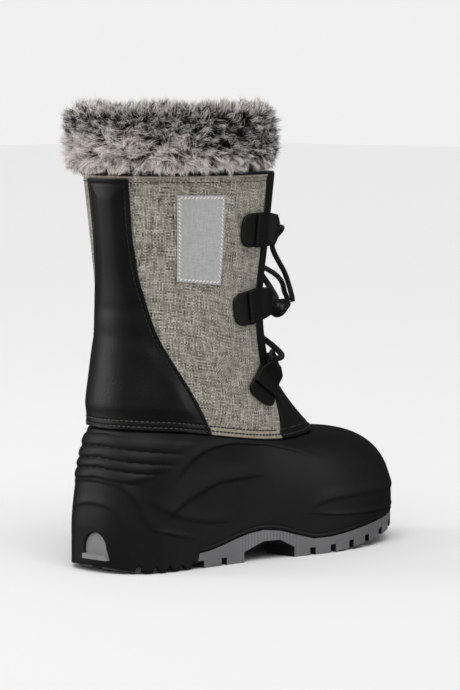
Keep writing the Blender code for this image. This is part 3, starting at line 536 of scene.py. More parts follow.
black_rubber = grained(
    "black_rubber_moulded", (0.0062, 0.006, 0.0063), (0.0112, 0.0108, 0.0115), 0.50, 1500.0, 0.10, IOR=1.29,
)
plug_rubber = grained("pale_rubber_plug", (0.18, 0.18, 0.182), (0.25, 0.25, 0.252), 0.55, 1100.0, 0.1)
black_leather = grained("black_coated_leather", grey(0.003), grey(0.0065), 0.46, 1000.0, 0.12, IOR=1.36)
soft_leather = grained("black_soft_leather", grey(0.0035), grey(0.008), 0.42, 1200.0, 0.2, IOR=1.36)
felt = grained("charcoal_felt", (0.03, 0.03, 0.032), (0.07, 0.07, 0.073), 0.95, 700.0, 0.5)
fleece = grained(
    "dark_fleece_lining", (0.02, 0.02, 0.021), (0.06, 0.057, 0.057), 0.95, 450.0, 0.9, patches=120.0,
)
hard_plastic = grained("black_plastic", grey(0.008), grey(0.014), 0.34, 700.0, 0.04, IOR=1.4)
thread = grained("dark_thread", grey(0.008), grey(0.02), 0.7, 3000.0, 0.05)
cream_tape = grained(
    "cream_tape", (0.22, 0.20, 0.15), (0.42, 0.39, 0.31), 0.85, 1500.0, 0.15, patches=400.0,
)
print("plain finishes ready")

# %% Woven finishes
def woven(name, yarns, stops, roughness, bump, turned=0.0, **sockets):
    """A cloth whose yarns each take their tone from a ramp, over the panel's UV map, with painted shade
    where the weave sinks between the yarns.
    """
    made, tree, shader = start_material(name, stops[1][1], roughness, **sockets)
    weave = node(tree, "Group")
    weave.node_tree = WEAVE
    place = node(tree, "Mapping", {"Vector": node(tree, "UVMap").outputs["UV"]})
    place.inputs["Rotation"].default_value[2] = math.radians(turned)
    tree.links.new(place.outputs["Vector"], weave.inputs["Vector"])
    weave.inputs["Yarns per metre"].default_value = yarns
    warp = ramp(tree, weave.outputs["Warp tone"], stops)
    weft = ramp(tree, weave.outputs["Weft tone"], stops)
    yarn = mix(tree, weave.outputs["Over"], weft, warp)
    # Painted shade: the colour is darkened where the weave's height is low, between the yarns.
    depth = maths(tree, "MULTIPLY_ADD", weave.outputs["Height"], 0.5, 0.6)
    tree.links.new(mix(tree, 1.0, yarn, depth, "MULTIPLY"), shader.inputs["Base Color"])
    relief = node(tree, "Bump", {"Strength": 0.8, "Distance": bump * MM, "Height": weave.outputs["Height"]})
    tree.links.new(relief.outputs["Normal"], shader.inputs["Normal"])
    return made


TWEED = [
    (0.30, (0.045, 0.042, 0.036)), (0.40, (0.17, 0.155, 0.125)), (0.50, (0.32, 0.295, 0.24)),
    (0.60, (0.50, 0.47, 0.40)), (0.72, (0.66, 0.63, 0.56)),
]
tweed = woven("heathered_cloth", 1150.0, TWEED, 0.92, 0.35, Sheen_Weight=0.15, Sheen_Roughness=0.5)
silver = woven(
    "silver_coated_cloth", 1500.0,
    [(0.3, (0.44, 0.44, 0.445)), (0.5, (0.54, 0.54, 0.545)), (0.7, (0.64, 0.64, 0.645))],
    0.45, 0.08, Metallic=0.2,
)
cord_black = woven(
    "braided_cord", 1500.0, [(0.3, grey(0.006)), (0.5, grey(0.012)), (0.7, grey(0.025))],
    0.7, 0.25, turned=45.0,
)
print("woven finishes ready")

# %% [markdown]
# ## Cords
# One round cord laces the front. It crosses the throat between the rings and is one joined piece
# there. Its two ends come out of the top rings and meet in the toggle. A cord is a tube round a
# smooth curve through given points.

# %% Cord helpers
def smooth_path(points, steps):
    """A smooth curve through given points, with a number of steps between each two."""
    points = np.asarray(points, float)
    ends = np.concatenate([[2 * points[0] - points[1]], points, [2 * points[-1] - points[-2]]])
    path = []
    for i in range(1, len(ends) - 2):
        p0, p1, p2, p3 = ends[i - 1:i + 3]
        for s in np.linspace(0, 1, steps, endpoint=False):
            path.append(p1 + 0.5 * s * (
                p2 - p0 + s * (2 * p0 - 5 * p1 + 4 * p2 - p3 + s * (3 * (p1 - p2) + p3 - p0))
            ))
    path.append(points[-1])
    return np.array(path)


def tube_grid(path, radius, around, loop=False):
    """Rings of points along a path. Each ring is carried on from the one before, so that the
    tube doesn't twist, and a loop's last ring is its first."""
    if loop:
        ahead = np.roll(path, -1, 0) - np.roll(path, 1, 0)
    else:
        ahead = np.gradient(path, axis=0)
    ahead /= np.linalg.norm(ahead, axis=1, keepdims=True)
    side = np.cross(ahead[0], (0.3, 0.2, 0.93))
    radius = np.broadcast_to(radius, len(path))
    turn = np.linspace(0, 2 * math.pi, around + 1)
    rows = []
    for place, direction, reach in zip(path, ahead, radius):
        side = side - direction * (side @ direction)
        side /= np.linalg.norm(side)
        up = np.cross(direction, side)
        rows.append(place + reach * (np.cos(turn)[:, None] * side + np.sin(turn)[:, None] * up))
    if loop:
        rows.append(rows[0])
    return np.array(rows)


def tube(name, path, radius, around=12, loop=False):
    """A closed tube along a path, with flat ends unless it is a loop."""
    return close_ends(panel(name, tube_grid(np.asarray(path), radius, around, loop), closed=True), 50)


def join(pieces, name):
    """Joins pieces into the first one."""
    deselect()
    for piece in pieces:
        piece.select_set(True)
    bpy.context.view_layer.objects.active = pieces[0]
    bpy.ops.object.join()
    pieces[0].name = name
    return pieces[0]


print("cord helpers ready")

# %% [markdown]
# The rings sit in the folds of the tabs, so a ring's place comes from its tab: a level on the
# shaft, a lean in degrees and a height over the skin.

# %% Lace and its free ends
SIDES = {"lateral": -1, "medial": 1}
TABS = ((0.79, 0.0), (0.525, 8.0), (0.275, 40.0))
TAB_SEAT, FOLD_RADIUS, FOLD_AHEAD, SAG = 0.75, 3.0, 1.7, 0.45
TAB_BACK = 2.0
RING_WIRE, RING_LENGTH, RING_WIDTH = 1.1, 10.0, 11.0
RING_HEIGHT = TAB_SEAT + FOLD_RADIUS + SAG
LACE_RADIUS, LACE_CLEAR = 1.7, 0.95
END_RADIUS = LACE_RADIUS - 0.2
TOGGLE_TIP = np.array((114.7, -4.3, 139.5))
TOGGLE_LENGTH, TOGGLE_RADIUS, TOGGLE_LIFT = 13.0, 4.2, 20.0


def on_shaft(side, level, tilt, back, up, distance):
    """A point beside the shaft's front edge at a level."""
    return on_skin(side, float(throat_edge(side, level)), level, tilt, back + TAB_BACK, up, distance)


def lace_turn(side, number):
    """Three points of the lace round a ring's front wire: over it, through the ring, under it."""
    level, tilt = TABS[number]
    wire = -FOLD_AHEAD - RING_LENGTH
    clear = RING_WIRE + LACE_RADIUS + LACE_CLEAR
    return [
        on_shaft(side, level, tilt, wire, 0, RING_HEIGHT + clear),
        on_shaft(side, level, tilt, wire + clear, 0, RING_HEIGHT),
        on_shaft(side, level, tilt, wire, 0, RING_HEIGHT - clear),
    ]


def front_point(level, distance):
    """A point over the tongue's middle line."""
    return offset(shaft_point, np.float64(TOE), np.float64(level), distance)


def make_crossings():
    """The two runs of the lace between the rings, joined."""
    top, middle, low = (level for level, tilt in TABS)
    under, outer, inner = 2.4, -1, 1
    over = under + LACE_RADIUS * 0.7
    first = [
        lace_turn(outer, 0)[2], front_point((top + middle) / 2, under), *lace_turn(inner, 1),
        front_point((middle + low) / 2, under), *lace_turn(outer, 2), front_point(low - 0.02, under),
        lace_turn(inner, 2)[2],
    ]
    second = [
        lace_turn(inner, 0)[2], front_point((top + middle) / 2 + 0.004, over), *lace_turn(outer, 1),
        front_point((middle + low) / 2 + 0.004, over), *lace_turn(inner, 2),
    ]
    runs = [tube("lace_run", smooth_path(points, 8), LACE_RADIUS, 14) for points in (first, second)]
    return join(runs, "lace_cord")


TOGGLE_AHEAD = np.array([math.cos(math.radians(TOGGLE_LIFT)), 0, math.sin(math.radians(TOGGLE_LIFT))])


def end_route(side):
    """The free end's points, from the top ring over its wire and down to the toggle's tip."""
    over, through, under = lace_turn(side, 0)
    apart = np.array([0, side * (LACE_RADIUS + 0.2), 0])
    return [
        under + (through - under) * 0.34, through, over, over + (0.5, -side * 8.0, -10.0),
        TOGGLE_TIP + apart * 2.4 + (-7.0, 0, 17.0), TOGGLE_TIP + apart * 1.3 + (0.5, 0, 5.0),
        TOGGLE_TIP + apart + TOGGLE_AHEAD * 2.3,
    ]


lace = make_crossings()
finish_piece(lace, cord_black, "black_cord", "lace_crossings")
for name, side in SIDES.items():
    route = smooth_path(end_route(side), 8)
    end = tube("lace_tail_" + name, route, END_RADIUS, 12)
    finish_piece(end, cord_black, "black_cord", "lace_end_" + name)

# %% [markdown]
# ## The rubber shell
# The foot of the boot is one rubber moulding. Round the heel it has four shallow ribs, over the
# window at the back there are arcs, and long soft lips run along the side to the toe bumper.
# They are heights over the skin, so one function adds them up: each lip is a line of level
# against station, steep below and fading slowly above.

# %% Relief of the shell
# Grooves between the ribs: their levels at the back of the heel. They sink towards the toe.
RIB_GROOVES = (0.43, 0.537, 0.642, 0.775, 0.945)
RIB_SLOPE = 0.035
RIB_DEPTH = 1.15
# Where the ribs end on the side: station for each level.
RIB_END = np.array([(0.40, 16.45), (0.45, 16.15), (0.54, 15.80), (0.73, 15.58), (0.94, 15.28)])
# Lips along the side: points as station and level, then depth and reach above it in mm.
LIPS = (
    (((15.95, 0.05), (15.59, 0.181), (15.2, 0.28), (14.85, 0.36), (14.49, 0.39), (13.9, 0.41)), 0.95, 7.0),
    (((15.85, 0.33), (15.63, 0.534), (15.37, 0.687), (15.01, 0.806), (14.48, 0.90), (13.64, 0.872),
      (12.95, 0.69), (12.5, 0.50)), 0.75, 4.5),
    (((16.3, 0.235), (15.8, 0.127), (15.44, 0.067), (14.95, 0.017), (14.5, 0.0)), 0.55, 3.5),
    (((16.6, 0.14), (15.99, -0.037), (15.5, -0.206), (15.2, -0.30)), 0.45, 3.0),
    (((12.95, 0.045), (12.59, 0.092), (12.05, 0.10), (10.9, 0.085), (9.0, 0.08)), 0.75, 3.5),
    (((12.95, 0.008), (12.53, -0.09), (11.8, -0.15), (10.6, -0.17), (9.0, -0.18)), 0.65, 3.5),
)
ARCS = (
    (((19.6, 0.33), (18.9, 0.385), (18.2, 0.412), (17.81, 0.409), (17.12, 0.38), (16.66, 0.261),
      (16.36, 0.117), (16.18, -0.027)), 0.6, 2.6),
    (((19.2, 0.10), (18.65, 0.176), (18.2, 0.205), (17.84, 0.206), (17.25, 0.171), (16.92, 0.067),
      (16.77, -0.092)), 0.55, 2.6),
)
# Millimetres to a level and to a station on the side of the shell, as a mean.
LEVEL_MM, STATION_MM = 53.0, 16.0
LIP_UNDER, CORNER_REACH = 0.9, 0.14


def lip_height(station, level, points, depth, reach):
    """A lip along a line: it drops short below the line and fades slowly above it."""
    s, w = np.array(sorted(points)).T
    steps = np.linspace(-CORNER_REACH, CORNER_REACH, 7)
    line = sum(np.interp(station + step, s, w) for step in steps) / 7
    slope = sum(np.interp(station + 0.1 + step, s, w) - np.interp(station - 0.1 + step, s, w)
                for step in steps) / 7 / 0.2
    above = (level - line) * LEVEL_MM / np.hypot(1, slope * LEVEL_MM / STATION_MM)
    fade = smooth(station, s[0] - 0.15, s[0] + 0.5) * (1 - smooth(station, s[-1] - 0.5, s[-1] + 0.15))
    under = np.exp(-(above / LIP_UNDER) ** 2)
    over = np.exp(-(above / reach) ** 2)
    return depth * fade * np.where(above < 0, under, over)


def rib_height(station, level):
    """Ribs like a bellows round the heel, down to where the smooth side begins."""
    heel_side = np.minimum(station, STATIONS - station)
    own = level + RIB_SLOPE * heel_side
    height = np.zeros_like(station)
    for low, high in zip(RIB_GROOVES, RIB_GROOVES[1:]):
        share = (own - low) / (high - low)
        inside = (share > 0) & (share < 1)
        swell = 1 - np.abs(2 * np.clip(share, 0, 1) - 1) ** 3.0
        height = np.where(inside, RIB_DEPTH * swell * (1.15 - 0.4 * share), height)
    end = STATIONS - np.interp(level, RIB_END[:, 0], RIB_END[:, 1])
    return height * (1 - smooth(heel_side, end - 0.5, end + 0.05))


def shell_relief(station, level):
    """All the relief. The lines are on the outer side, and the inner side mirrors them."""
    outer = np.where(station < TOE, STATIONS - station, station)
    height = rib_height(station, level)
    for points, depth, reach in LIPS:
        height = height + lip_height(outer, level, points, depth, reach)
    for points, depth, reach in ARCS:
        around = np.where(station < 4, station + STATIONS, station)
        height = height + lip_height(around, level, points, depth, reach)
    return height


station = np.linspace(0, STATIONS, 5)
print("relief at the heel:", np.round(shell_relief(station, np.full_like(station, 0.4)), 2))

# %% [markdown]
# The wall itself is two rings of points: the outer skin with its relief, which stops at the rim
# over the grey sole, and the inner skin 3 mm further in. At the top it folds into the thin
# flange that the shaft is sewn to.

# %% Shell
SHELL_COLUMNS, SKIRT_ROWS, WALL_ROWS, SKIRT_TOP = 400, 36, 116, -0.2
# Small notches between the skirt's lugs: pitch, width and height in mm.
NOTCH_PITCH, NOTCH_WIDTH, NOTCH_HEIGHT = 8.6, 3.2, 3.0
EDGE_GROOVE, EDGE_GROOVE_DEPTH = 2.2, 0.18
FLANGE = 1.8
WINDOW_WIDTH, WINDOW_TOP, WINDOW_FOOT, WINDOW_Y, WINDOW_FLARE = 17.0, 22.0, 7.0, -2.5, 2.4


def lower_edge(station):
    """The level of the shell's lower edge: near the floor at the heel, at the rim in front."""
    x = sole_edge(station)[0]
    bevel = HEEL_BEVEL * np.clip((BEVEL_START_X - x) / (BEVEL_START_X + HEEL_SETBACK), 0, 1) ** 2
    step = smooth(x, HEEL_STEP_X - 0.4, HEEL_STEP_X + 0.4)
    place = (x + HEEL_SETBACK) / NOTCH_PITCH % 1 * NOTCH_PITCH
    notch = smooth(place, 0, 0.4) * (1 - smooth(place, NOTCH_WIDTH - 0.4, NOTCH_WIDTH))
    notch = notch * smooth(x, -0.8 * HEEL_SETBACK, -0.7 * HEEL_SETBACK)
    heel = SKIRT_CLEARANCE + bevel + NOTCH_HEIGHT * notch
    return (heel * (1 - step) + rim_z(x) * step) / SKIRT_HEIGHT - 1


def shell_rings():
    """The outer skin from the rim up, over the topline and down the inner side."""
    station = np.linspace(0, STATIONS, SHELL_COLUMNS)
    rows = []
    edge = lower_edge(station)
    rows.append(offset(shell_point, station, edge, np.full_like(station, -SHELL_WALL)))
    rows.append(offset(shell_point, station, edge, np.full_like(station, -0.5)))
    levels = [edge + (SKIRT_TOP - edge) * share for share in np.linspace(0, 1, SKIRT_ROWS)]
    levels += [np.full_like(station, level) for level in np.linspace(SKIRT_TOP, 1, WALL_ROWS)[1:]]
    grooved = EDGE_GROOVE_DEPTH * smooth(sole_edge(station)[0], HEEL_STEP_X + 1, HEEL_STEP_X + 4)
    for level in levels:
        rise = (level - edge) * SKIRT_HEIGHT
        height = shell_relief(station, level) * smooth(rise, EDGE_GROOVE, EDGE_GROOVE + 2)
        height -= grooved * np.exp(-((rise - EDGE_GROOVE) / 0.5) ** 2)
        height -= 0.5 * (1 - smooth(rise, 0.0, 0.7)) + 0.5 * smooth(level, 0.98, 1.0)
        rows.append(offset(shell_point, station, level, height))
    inner = SHAFT_WALL + GAP + 0.25
    turned = ((0.002, 0), (0.05, 0), (0.055, FLANGE / 2), (0.05, FLANGE), (0.0, FLANGE))
    below = [(shaft_point, level, inner + thick) for level, thick in turned]
    below += [(shell_point, level, SHELL_WALL) for level in (0.94, 0.7, 0.4, 0.1)]
    for skin, level, inward in below:
        rows.append(offset(skin, station, np.full_like(station, level), np.full_like(station, -inward)))
    rows.append(rows[0])
    return np.array(rows)


def cut_window(piece):
    """Cuts the round-headed window through the wall, with a block made by extruding its outline."""
    half, shoulder = WINDOW_WIDTH / 2, WINDOW_TOP - WINDOW_WIDTH / 2
    turns = np.linspace(0, math.pi, 24)
    arc = [(WINDOW_Y + half * math.cos(a), shoulder + half * math.sin(a)) for a in turns]
    edge = [(WINDOW_Y - half - WINDOW_FLARE, WINDOW_FOOT), (WINDOW_Y + half, WINDOW_FOOT)] + arc
    deselect()
    bpy.ops.mesh.primitive_circle_add(vertices=len(edge), fill_type="NGON")
    block = bpy.context.object
    for corner, (y, z) in zip(block.data.vertices, edge):
        corner.co = Vector((-HEEL_SETBACK - 8, y, z)) * MM
    move = {"value": ((SHELL_WALL + 12) * MM, 0, 0)}
    edit(block, bpy.ops.mesh.extrude_region_move, TRANSFORM_OT_translate=move)
    face_out(block)
    apply_modifier(piece, "BOOLEAN", operation="DIFFERENCE", solver="EXACT", object=block)
    bpy.data.objects.remove(block)


shell = panel("shell_wall", shell_rings(), closed=True)
face_out(shell)
cut_window(shell)
shade(shell, 50)
finish_piece(shell, black_rubber, "black_rubber", "shell")
print("shell faces:", len(shell.data.polygons))

# %% [markdown]
# ## The soles and the footbed
# The sole, its plug in the heel's window and the felt footbed already have their right shape in
# the frame, so they keep it and get a better finish. The sole's outward walls are grey and its
# other faces are black, and fine ribs on its arch are stripes of painted shade and highlight.

# %% Sole, plug and footbed
TOE_FACE_X = 150.0
# Span of the fine arch ribs in mm, their pitch, and how strongly their painted shade and highlight change
# the grey.
ARCH_RIBS, ARCH_RIB_PITCH, ARCH_RIB_PAINTED_SHADE = (44.0, 84.0), 2.2, 0.22
OUTWARD_ENOUGH = 0.25
# Every face of the sole that does not face outward, underneath and turned inward, is black.
NOT_OUTWARD_BLACK = (0.008, 0.008, 0.008, 1)


def two_colour_sole():
    """Grey on the sole's outward faces, black on all its other faces, and stripes of painted shade and
    highlight for fine ribs on the arch.
    """
    made = grained("grey_sole_rubber", (0.115, 0.116, 0.12), (0.175, 0.176, 0.18), 0.62, 1100.0, 0.14)
    tree = made.node_tree
    shader = tree.nodes["Principled BSDF"]
    coordinates = node(tree, "TexCoord")
    place = node(tree, "SeparateXYZ", {0: coordinates.outputs["Object"]})
    facing = node(tree, "SeparateXYZ", {0: coordinates.outputs["Normal"]})
    outward = maths(tree, "MULTIPLY", facing.outputs[1], maths(tree, "SIGN", place.outputs[1]))
    at_toe = maths(tree, "GREATER_THAN", place.outputs[0], TOE_FACE_X * MM)
    toe = maths(tree, "MULTIPLY", facing.outputs[0], at_toe)
    wall = maths(tree, "GREATER_THAN", maths(tree, "MAXIMUM", outward, toe), OUTWARD_ENOUGH)
    # Painted shade and highlight: a sine ripple makes the grey darker and lighter in stripes for the fine
    # ribs on the arch.
    turns = maths(tree, "MULTIPLY", place.outputs[0], 2 * math.pi / (ARCH_RIB_PITCH * MM))
    painted_rib_ripple = maths(tree, "SINE", turns)
    behind = maths(tree, "LESS_THAN", place.outputs[0], ARCH_RIBS[1] * MM)
    past = maths(tree, "GREATER_THAN", place.outputs[0], ARCH_RIBS[0] * MM)
    arch = maths(tree, "MULTIPLY", past, behind)
    painted_rib_shade = maths(tree, "MULTIPLY_ADD", maths(tree, "MULTIPLY", painted_rib_ripple, arch), ARCH_RIB_PAINTED_SHADE, 1.0)
    plain_grey = shader.inputs["Base Color"].links[0].from_socket
    grey_with_painted_ribs = mix(tree, 1.0, plain_grey, painted_rib_shade, "MULTIPLY")
    tree.links.new(mix(tree, wall, NOT_OUTWARD_BLACK, grey_with_painted_ribs), shader.inputs["Base Color"])
    return made


sole_finish = two_colour_sole()
for solid, finish in (("outsole", sole_finish), ("heel_insert", plug_rubber), ("insole", felt)):
    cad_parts[solid].data.materials.clear()
    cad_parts[solid].data.materials.append(finish)
print("soles finished")

# %% [markdown]
# ## The cloth shaft
# The shaft is one panel of heathered cloth, from one front edge round the back to the other. It
# is lined with dark fleece, which is a second panel just inside. Standing empty, it keeps a few
# soft hollows at the ankle, where the leg bends.

# %% Shaft
CREASES = (
    (15.0, 0.30, 1.6, 0.030, 0.02, -0.55),
    (14.2, 0.42, 1.4, 0.035, -0.02, -0.45),
    (4.0, 0.32, 1.5, 0.030, 0.01, -0.5),
    (3.2, 0.45, 1.3, 0.035, 0.02, -0.4),
    (17.6, 0.36, 1.5, 0.030, 0.0, -0.35),
    (17.9, 0.47, 1.4, 0.028, 0.0, -0.3),
)
FOOT_LEVEL = 0.005


def shaft_grid(rows, columns, distance, low=FOOT_LEVEL, high=1.0):
    """Points over the whole shaft, between its two front edges."""
    grid = []
    for level in np.linspace(low, high, rows):
        station = np.linspace(throat_edge(-1, level), STATIONS + throat_edge(1, level), columns)
        flat = np.full_like(station, level)
        around = station % STATIONS
        grid.append(offset(shaft_point, station, flat, distance + wrinkle(around, flat, CREASES)))
    return np.array(grid)


cloth = panel("shaft_cloth", shaft_grid(110, 170, 0.0), 1.3, outward=False, bevel=0.3)
finish_piece(cloth, tweed, "melange_cloth", "shaft")
lining = panel("shaft_lining", shaft_grid(60, 100, -1.5), 1.1, outward=False)
finish_piece(lining, fleece, "melange_cloth")
print("shaft faces:", len(cloth.data.polygons), "lining faces:", len(lining.data.polygons))

# %% [markdown]
# ## The leather backstay
# One piece of coated leather runs up the back: wide over the heel, where it covers the ankle
# bones, and narrow under the collar. Its edges are turned, which a small bevel shows. It swells a
# little inside a seam that follows its edges, and lies flat at its foot, where two seams run.

# %% Backstay
# Level, and how far the leather reaches on the outer and on the inner side, in stations.
BACKSTAY = np.array([
    (0.00, 2.85, 2.85), (0.06, 2.80, 2.80), (0.12, 2.74, 2.74), (0.18, 2.58, 2.58), (0.285, 2.21, 2.21),
    (0.36, 1.88, 1.82), (0.45, 1.55, 1.43), (0.60, 1.13, 0.95), (0.76, 0.97, 0.77), (1.00, 0.97, 0.75),
])
BACKSTAY_TOP = 0.980
EDGE_SEAM = 2.6
BACKSTAY_SWELL, SWELL_REACH, HEM_REACH = 0.9, 9.0, 7.0
SEAM_DIP, SEAM_WIDTH, HEM_DIP, HEM_WIDTH = 0.35, 0.7, 0.3, 0.6
# Two seams follow the foot of the shaft at these heights over the shell, in a band that lies flat.
HEM_LOW, HEM_HIGH, HEM_BAND = 1.6, 4.6, 5.6


def backstay_reach(side, level):
    """Reach of the backstay in stations, with the corners of its table rounded."""
    near = np.asarray(level)[..., None] + np.linspace(-0.035, 0.035, 7)
    return np.interp(near, BACKSTAY[:, 0], BACKSTAY[:, 1 if side < 0 else 2]).mean(-1)


def backstay_grid(rows, columns):
    """The leather swells a little between its seams, and dips along each of them."""
    grid = []
    for level in np.linspace(FOOT_LEVEL, BACKSTAY_TOP, rows):
        outer, inner = backstay_reach(-1, level), backstay_reach(1, level)
        share = np.sin(np.linspace(-1, 1, columns) * math.pi / 2)
        station = np.where(share < 0, share * outer, share * inner)
        flat = np.full_like(station, level)
        line = offset(shaft_point, station, flat, np.zeros_like(station))
        run = np.concatenate([[0], np.cumsum(np.linalg.norm(np.diff(line, axis=0), axis=1))])
        edge = np.minimum(run, run[-1] - run)
        from_top = (BACKSTAY_TOP - level) * (COLLAR_HEIGHT - TOPLINE_HEIGHT)
        edge = np.minimum(edge, from_top)
        from_foot = (level - FOOT_LEVEL) * (COLLAR_HEIGHT - TOPLINE_HEIGHT)
        height = BACKSTAY_SWELL * smooth(edge, EDGE_SEAM, EDGE_SEAM + SWELL_REACH)
        height = height * smooth(from_foot, HEM_BAND, HEM_BAND + HEM_REACH)
        height -= SEAM_DIP * np.exp(-((edge - EDGE_SEAM) / SEAM_WIDTH) ** 2)
        for seam in (HEM_LOW, HEM_HIGH):
            height -= HEM_DIP * np.exp(-((from_foot - seam) / HEM_WIDTH) ** 2)
        height += wrinkle(station, flat, CREASES) * 0.9
        grid.append(offset(shaft_point, station, flat, GAP + 0.25 + height))
    return np.array(grid)


backstay = panel("backstay_leather", backstay_grid(180, 98), 0.95, bevel=0.3)
finish_piece(backstay, black_leather, "black_leather", "backstay")
print("backstay faces:", len(backstay.data.polygons))

# %% [markdown]
# ## Saddle, tongue and bindings
# The saddle is the leather over the instep. Between shell and laces it stands in soft upright
# folds. Behind the laces is the padded tongue, and a narrow leather binding runs up each front
# edge of the cloth.

# %% Saddle, tongue and bindings
SADDLE_LOW, SADDLE_SIDE = 0.17, 0.245
SADDLE_WALL = SHAFT_WALL - 0.4
SADDLE_FOLDS = (
    (12.35, 0.07, 0.22, 0.12, 0.0, 0.9),
    (11.75, 0.08, 0.20, 0.13, 0.0, 0.8),
    (11.10, 0.08, 0.24, 0.13, 0.0, 0.9),
    (10.35, 0.09, 0.26, 0.12, 0.0, 0.7),
    (5.65, 0.07, 0.22, 0.12, 0.0, 0.9),
    (6.25, 0.08, 0.20, 0.13, 0.0, 0.8),
    (6.90, 0.08, 0.24, 0.13, 0.0, 0.9),
    (7.65, 0.09, 0.26, 0.12, 0.0, 0.7),
)
TONGUE_TOP, TONGUE_RECESS, TONGUE_THICKNESS = 0.991, 4.2, 4.0
BINDING_LAP = 9.5


def saddle_grid(rows, columns):
    """Points over the instep, from the shell up to a top edge that dips in the middle."""
    across = np.linspace(-1, 1, columns)
    top = SADDLE_LOW + (SADDLE_SIDE - SADDLE_LOW) * np.abs(across) ** 1.6
    grid = []
    for share in np.linspace(0, 1, rows):
        level = FOOT_LEVEL + (top - FOOT_LEVEL) * share
        station = TOE + across * (shaft_at("throat", level) - 0.04)
        calm = smooth(share, 0.0, 0.2) * (1 - smooth(share, 0.85, 1) * 0.6)
        grid.append(offset(shaft_point, station, level, wrinkle(station, level, SADDLE_FOLDS) * calm))
    return np.array(grid)


def tongue_grid(rows, columns):
    """Points behind the laces, fuller in the middle."""
    across = np.linspace(-1, 1, columns)
    grid = []
    for level in np.linspace(0.11, TONGUE_TOP, rows):
        station = TOE + across * (shaft_at("throat", level) + 0.35)
        fuller = 1.6 * (1 - across ** 2) * smooth(level, 0.2, 0.4)
        grid.append(offset(shaft_point, station, np.full_like(station, level), fuller - TONGUE_RECESS))
    return np.array(grid)


def binding_grid(side, rows):
    """A strip folded round the front edge: its section runs from the outside to the inside."""
    section = [
        (-BINDING_LAP, 0.05), (-BINDING_LAP + 0.5, 0.7), (-1.5, 0.85), (0.0, 0.9), (1.6, 0.75),
        (2.6, 0.1), (3.0, -1.0), (2.6, -2.4), (1.6, -3.1), (0.2, -3.2),
    ]
    grid = []
    for level in np.linspace(SADDLE_SIDE + 0.01, 0.995, rows):
        edge = throat_edge(side, level)
        step = 0.01
        move = shaft_point(edge + step, level) - shaft_point(edge - step, level)
        reach = np.linalg.norm(move) / (2 * step)
        station = np.array([edge + side * ahead / reach for ahead, height in section])
        height = np.array([height for ahead, height in section])
        row = offset(shaft_point, station, np.full_like(station, level), height)
        grid.append(row if side > 0 else row[::-1])
    return np.array(grid)


saddle = panel("saddle_leather", saddle_grid(40, 150), SADDLE_WALL, outward=False, bevel=0.4)
finish_piece(saddle, soft_leather, "black_leather", "saddle")
tongue = panel("tongue_pad", tongue_grid(90, 40), TONGUE_THICKNESS, outward=False, bevel=1.2)
finish_piece(tongue, tweed, "melange_cloth", "tongue")
for name, side in SIDES.items():
    binding = panel("front_binding_" + name, binding_grid(side, 90), 0.4)
    finish_piece(binding, black_leather, "black_leather", "binding_" + name)
print("saddle, tongue and bindings made")

# %% [markdown]
# ## Side patch
# A thin coated cloth patch is sewn to the outer side, with an overlocked border. It is left bare.

# %% Patch
PATCH_PLACE = (14.72, 0.755)
PATCH_WIDTH, PATCH_HEIGHT, PATCH_THICKNESS = 28.0, 48.0, 0.9


def patch_grid(rows, columns):
    """Points over the patch, on the outer side."""
    places = np.linspace(-PATCH_WIDTH / 2, PATCH_WIDTH / 2, columns)
    return np.array([
        [on_skin(-1, *PATCH_PLACE, 0, across, up, GAP) for across in places]
        for up in np.linspace(-PATCH_HEIGHT / 2, PATCH_HEIGHT / 2, rows)
    ])


patch = panel("side_patch_cloth", patch_grid(36, 22), PATCH_THICKNESS, bevel=0.3)
finish_piece(patch, silver, "silver_patch", "side_patch")
print("patch made")

# %% [markdown]
# ## Lace tabs and rings
# Each tab is one strip of leather: it lies on the shaft, turns round the ring's wire and comes
# back over itself, where a seam holds both layers. The rings are stiff loops covered with cord.

# %% Tabs and rings
TAB_LENGTH, TAB_WIDTH, TAB_LAYER = 30.0, 19.0, 1.2
FOLD_HOLE, FOLD_WIDTH = 1.8, 8.0
TAB_SEAM = 0.64
TAB_SHAPE = np.array([
    (0.00, 0.42), (0.20, 0.49), (0.50, 0.50), (0.80, 0.49),
    (0.89, 0.45), (0.95, 0.38), (0.985, 0.29), (1.00, 0.20),
])


def tab_half(back):
    """Half width of a tab at a distance behind its front."""
    share = np.clip(back / TAB_LENGTH, 0, 1)
    leaf = np.interp(share, TAB_SHAPE[:, 0], TAB_SHAPE[:, 1]) * TAB_WIDTH
    return FOLD_WIDTH / 2 + (leaf - FOLD_WIDTH / 2) * smooth(back, -1.5, 1.2)


def tab_strip():
    """The strip's own line, as back and height: under the ring, round it and back on top."""
    low = TAB_SEAT + TAB_LAYER
    line = [(TAB_LENGTH * share, low) for share in np.linspace(1, 0.03, 26)]
    for turn in np.linspace(-math.pi / 2, -1.5 * math.pi, 15):
        line.append((-FOLD_AHEAD + FOLD_HOLE * math.cos(turn), RING_HEIGHT + FOLD_HOLE * math.sin(turn)))
    top = RING_HEIGHT + FOLD_HOLE
    end = TAB_LENGTH * TAB_SEAM
    for share in np.linspace(0.08, 1, 18):
        back = -FOLD_AHEAD + (end + FOLD_AHEAD) * share
        line.append((back, low + 0.1 + (top - low - 0.1) * (1 - smooth(back, -FOLD_AHEAD, 9.0))))
    return line


def tab_grid(side, level, tilt):
    """The strip's line, widened to the tab's outline."""
    grid = []
    for back, height in tab_strip():
        half = tab_half(back)
        spread = np.linspace(-1, 1, 13)
        row = [on_shaft(side, level, tilt, back, half * across, height) for across in spread]
        grid.append(row if side > 0 else row[::-1])
    return np.array(grid)


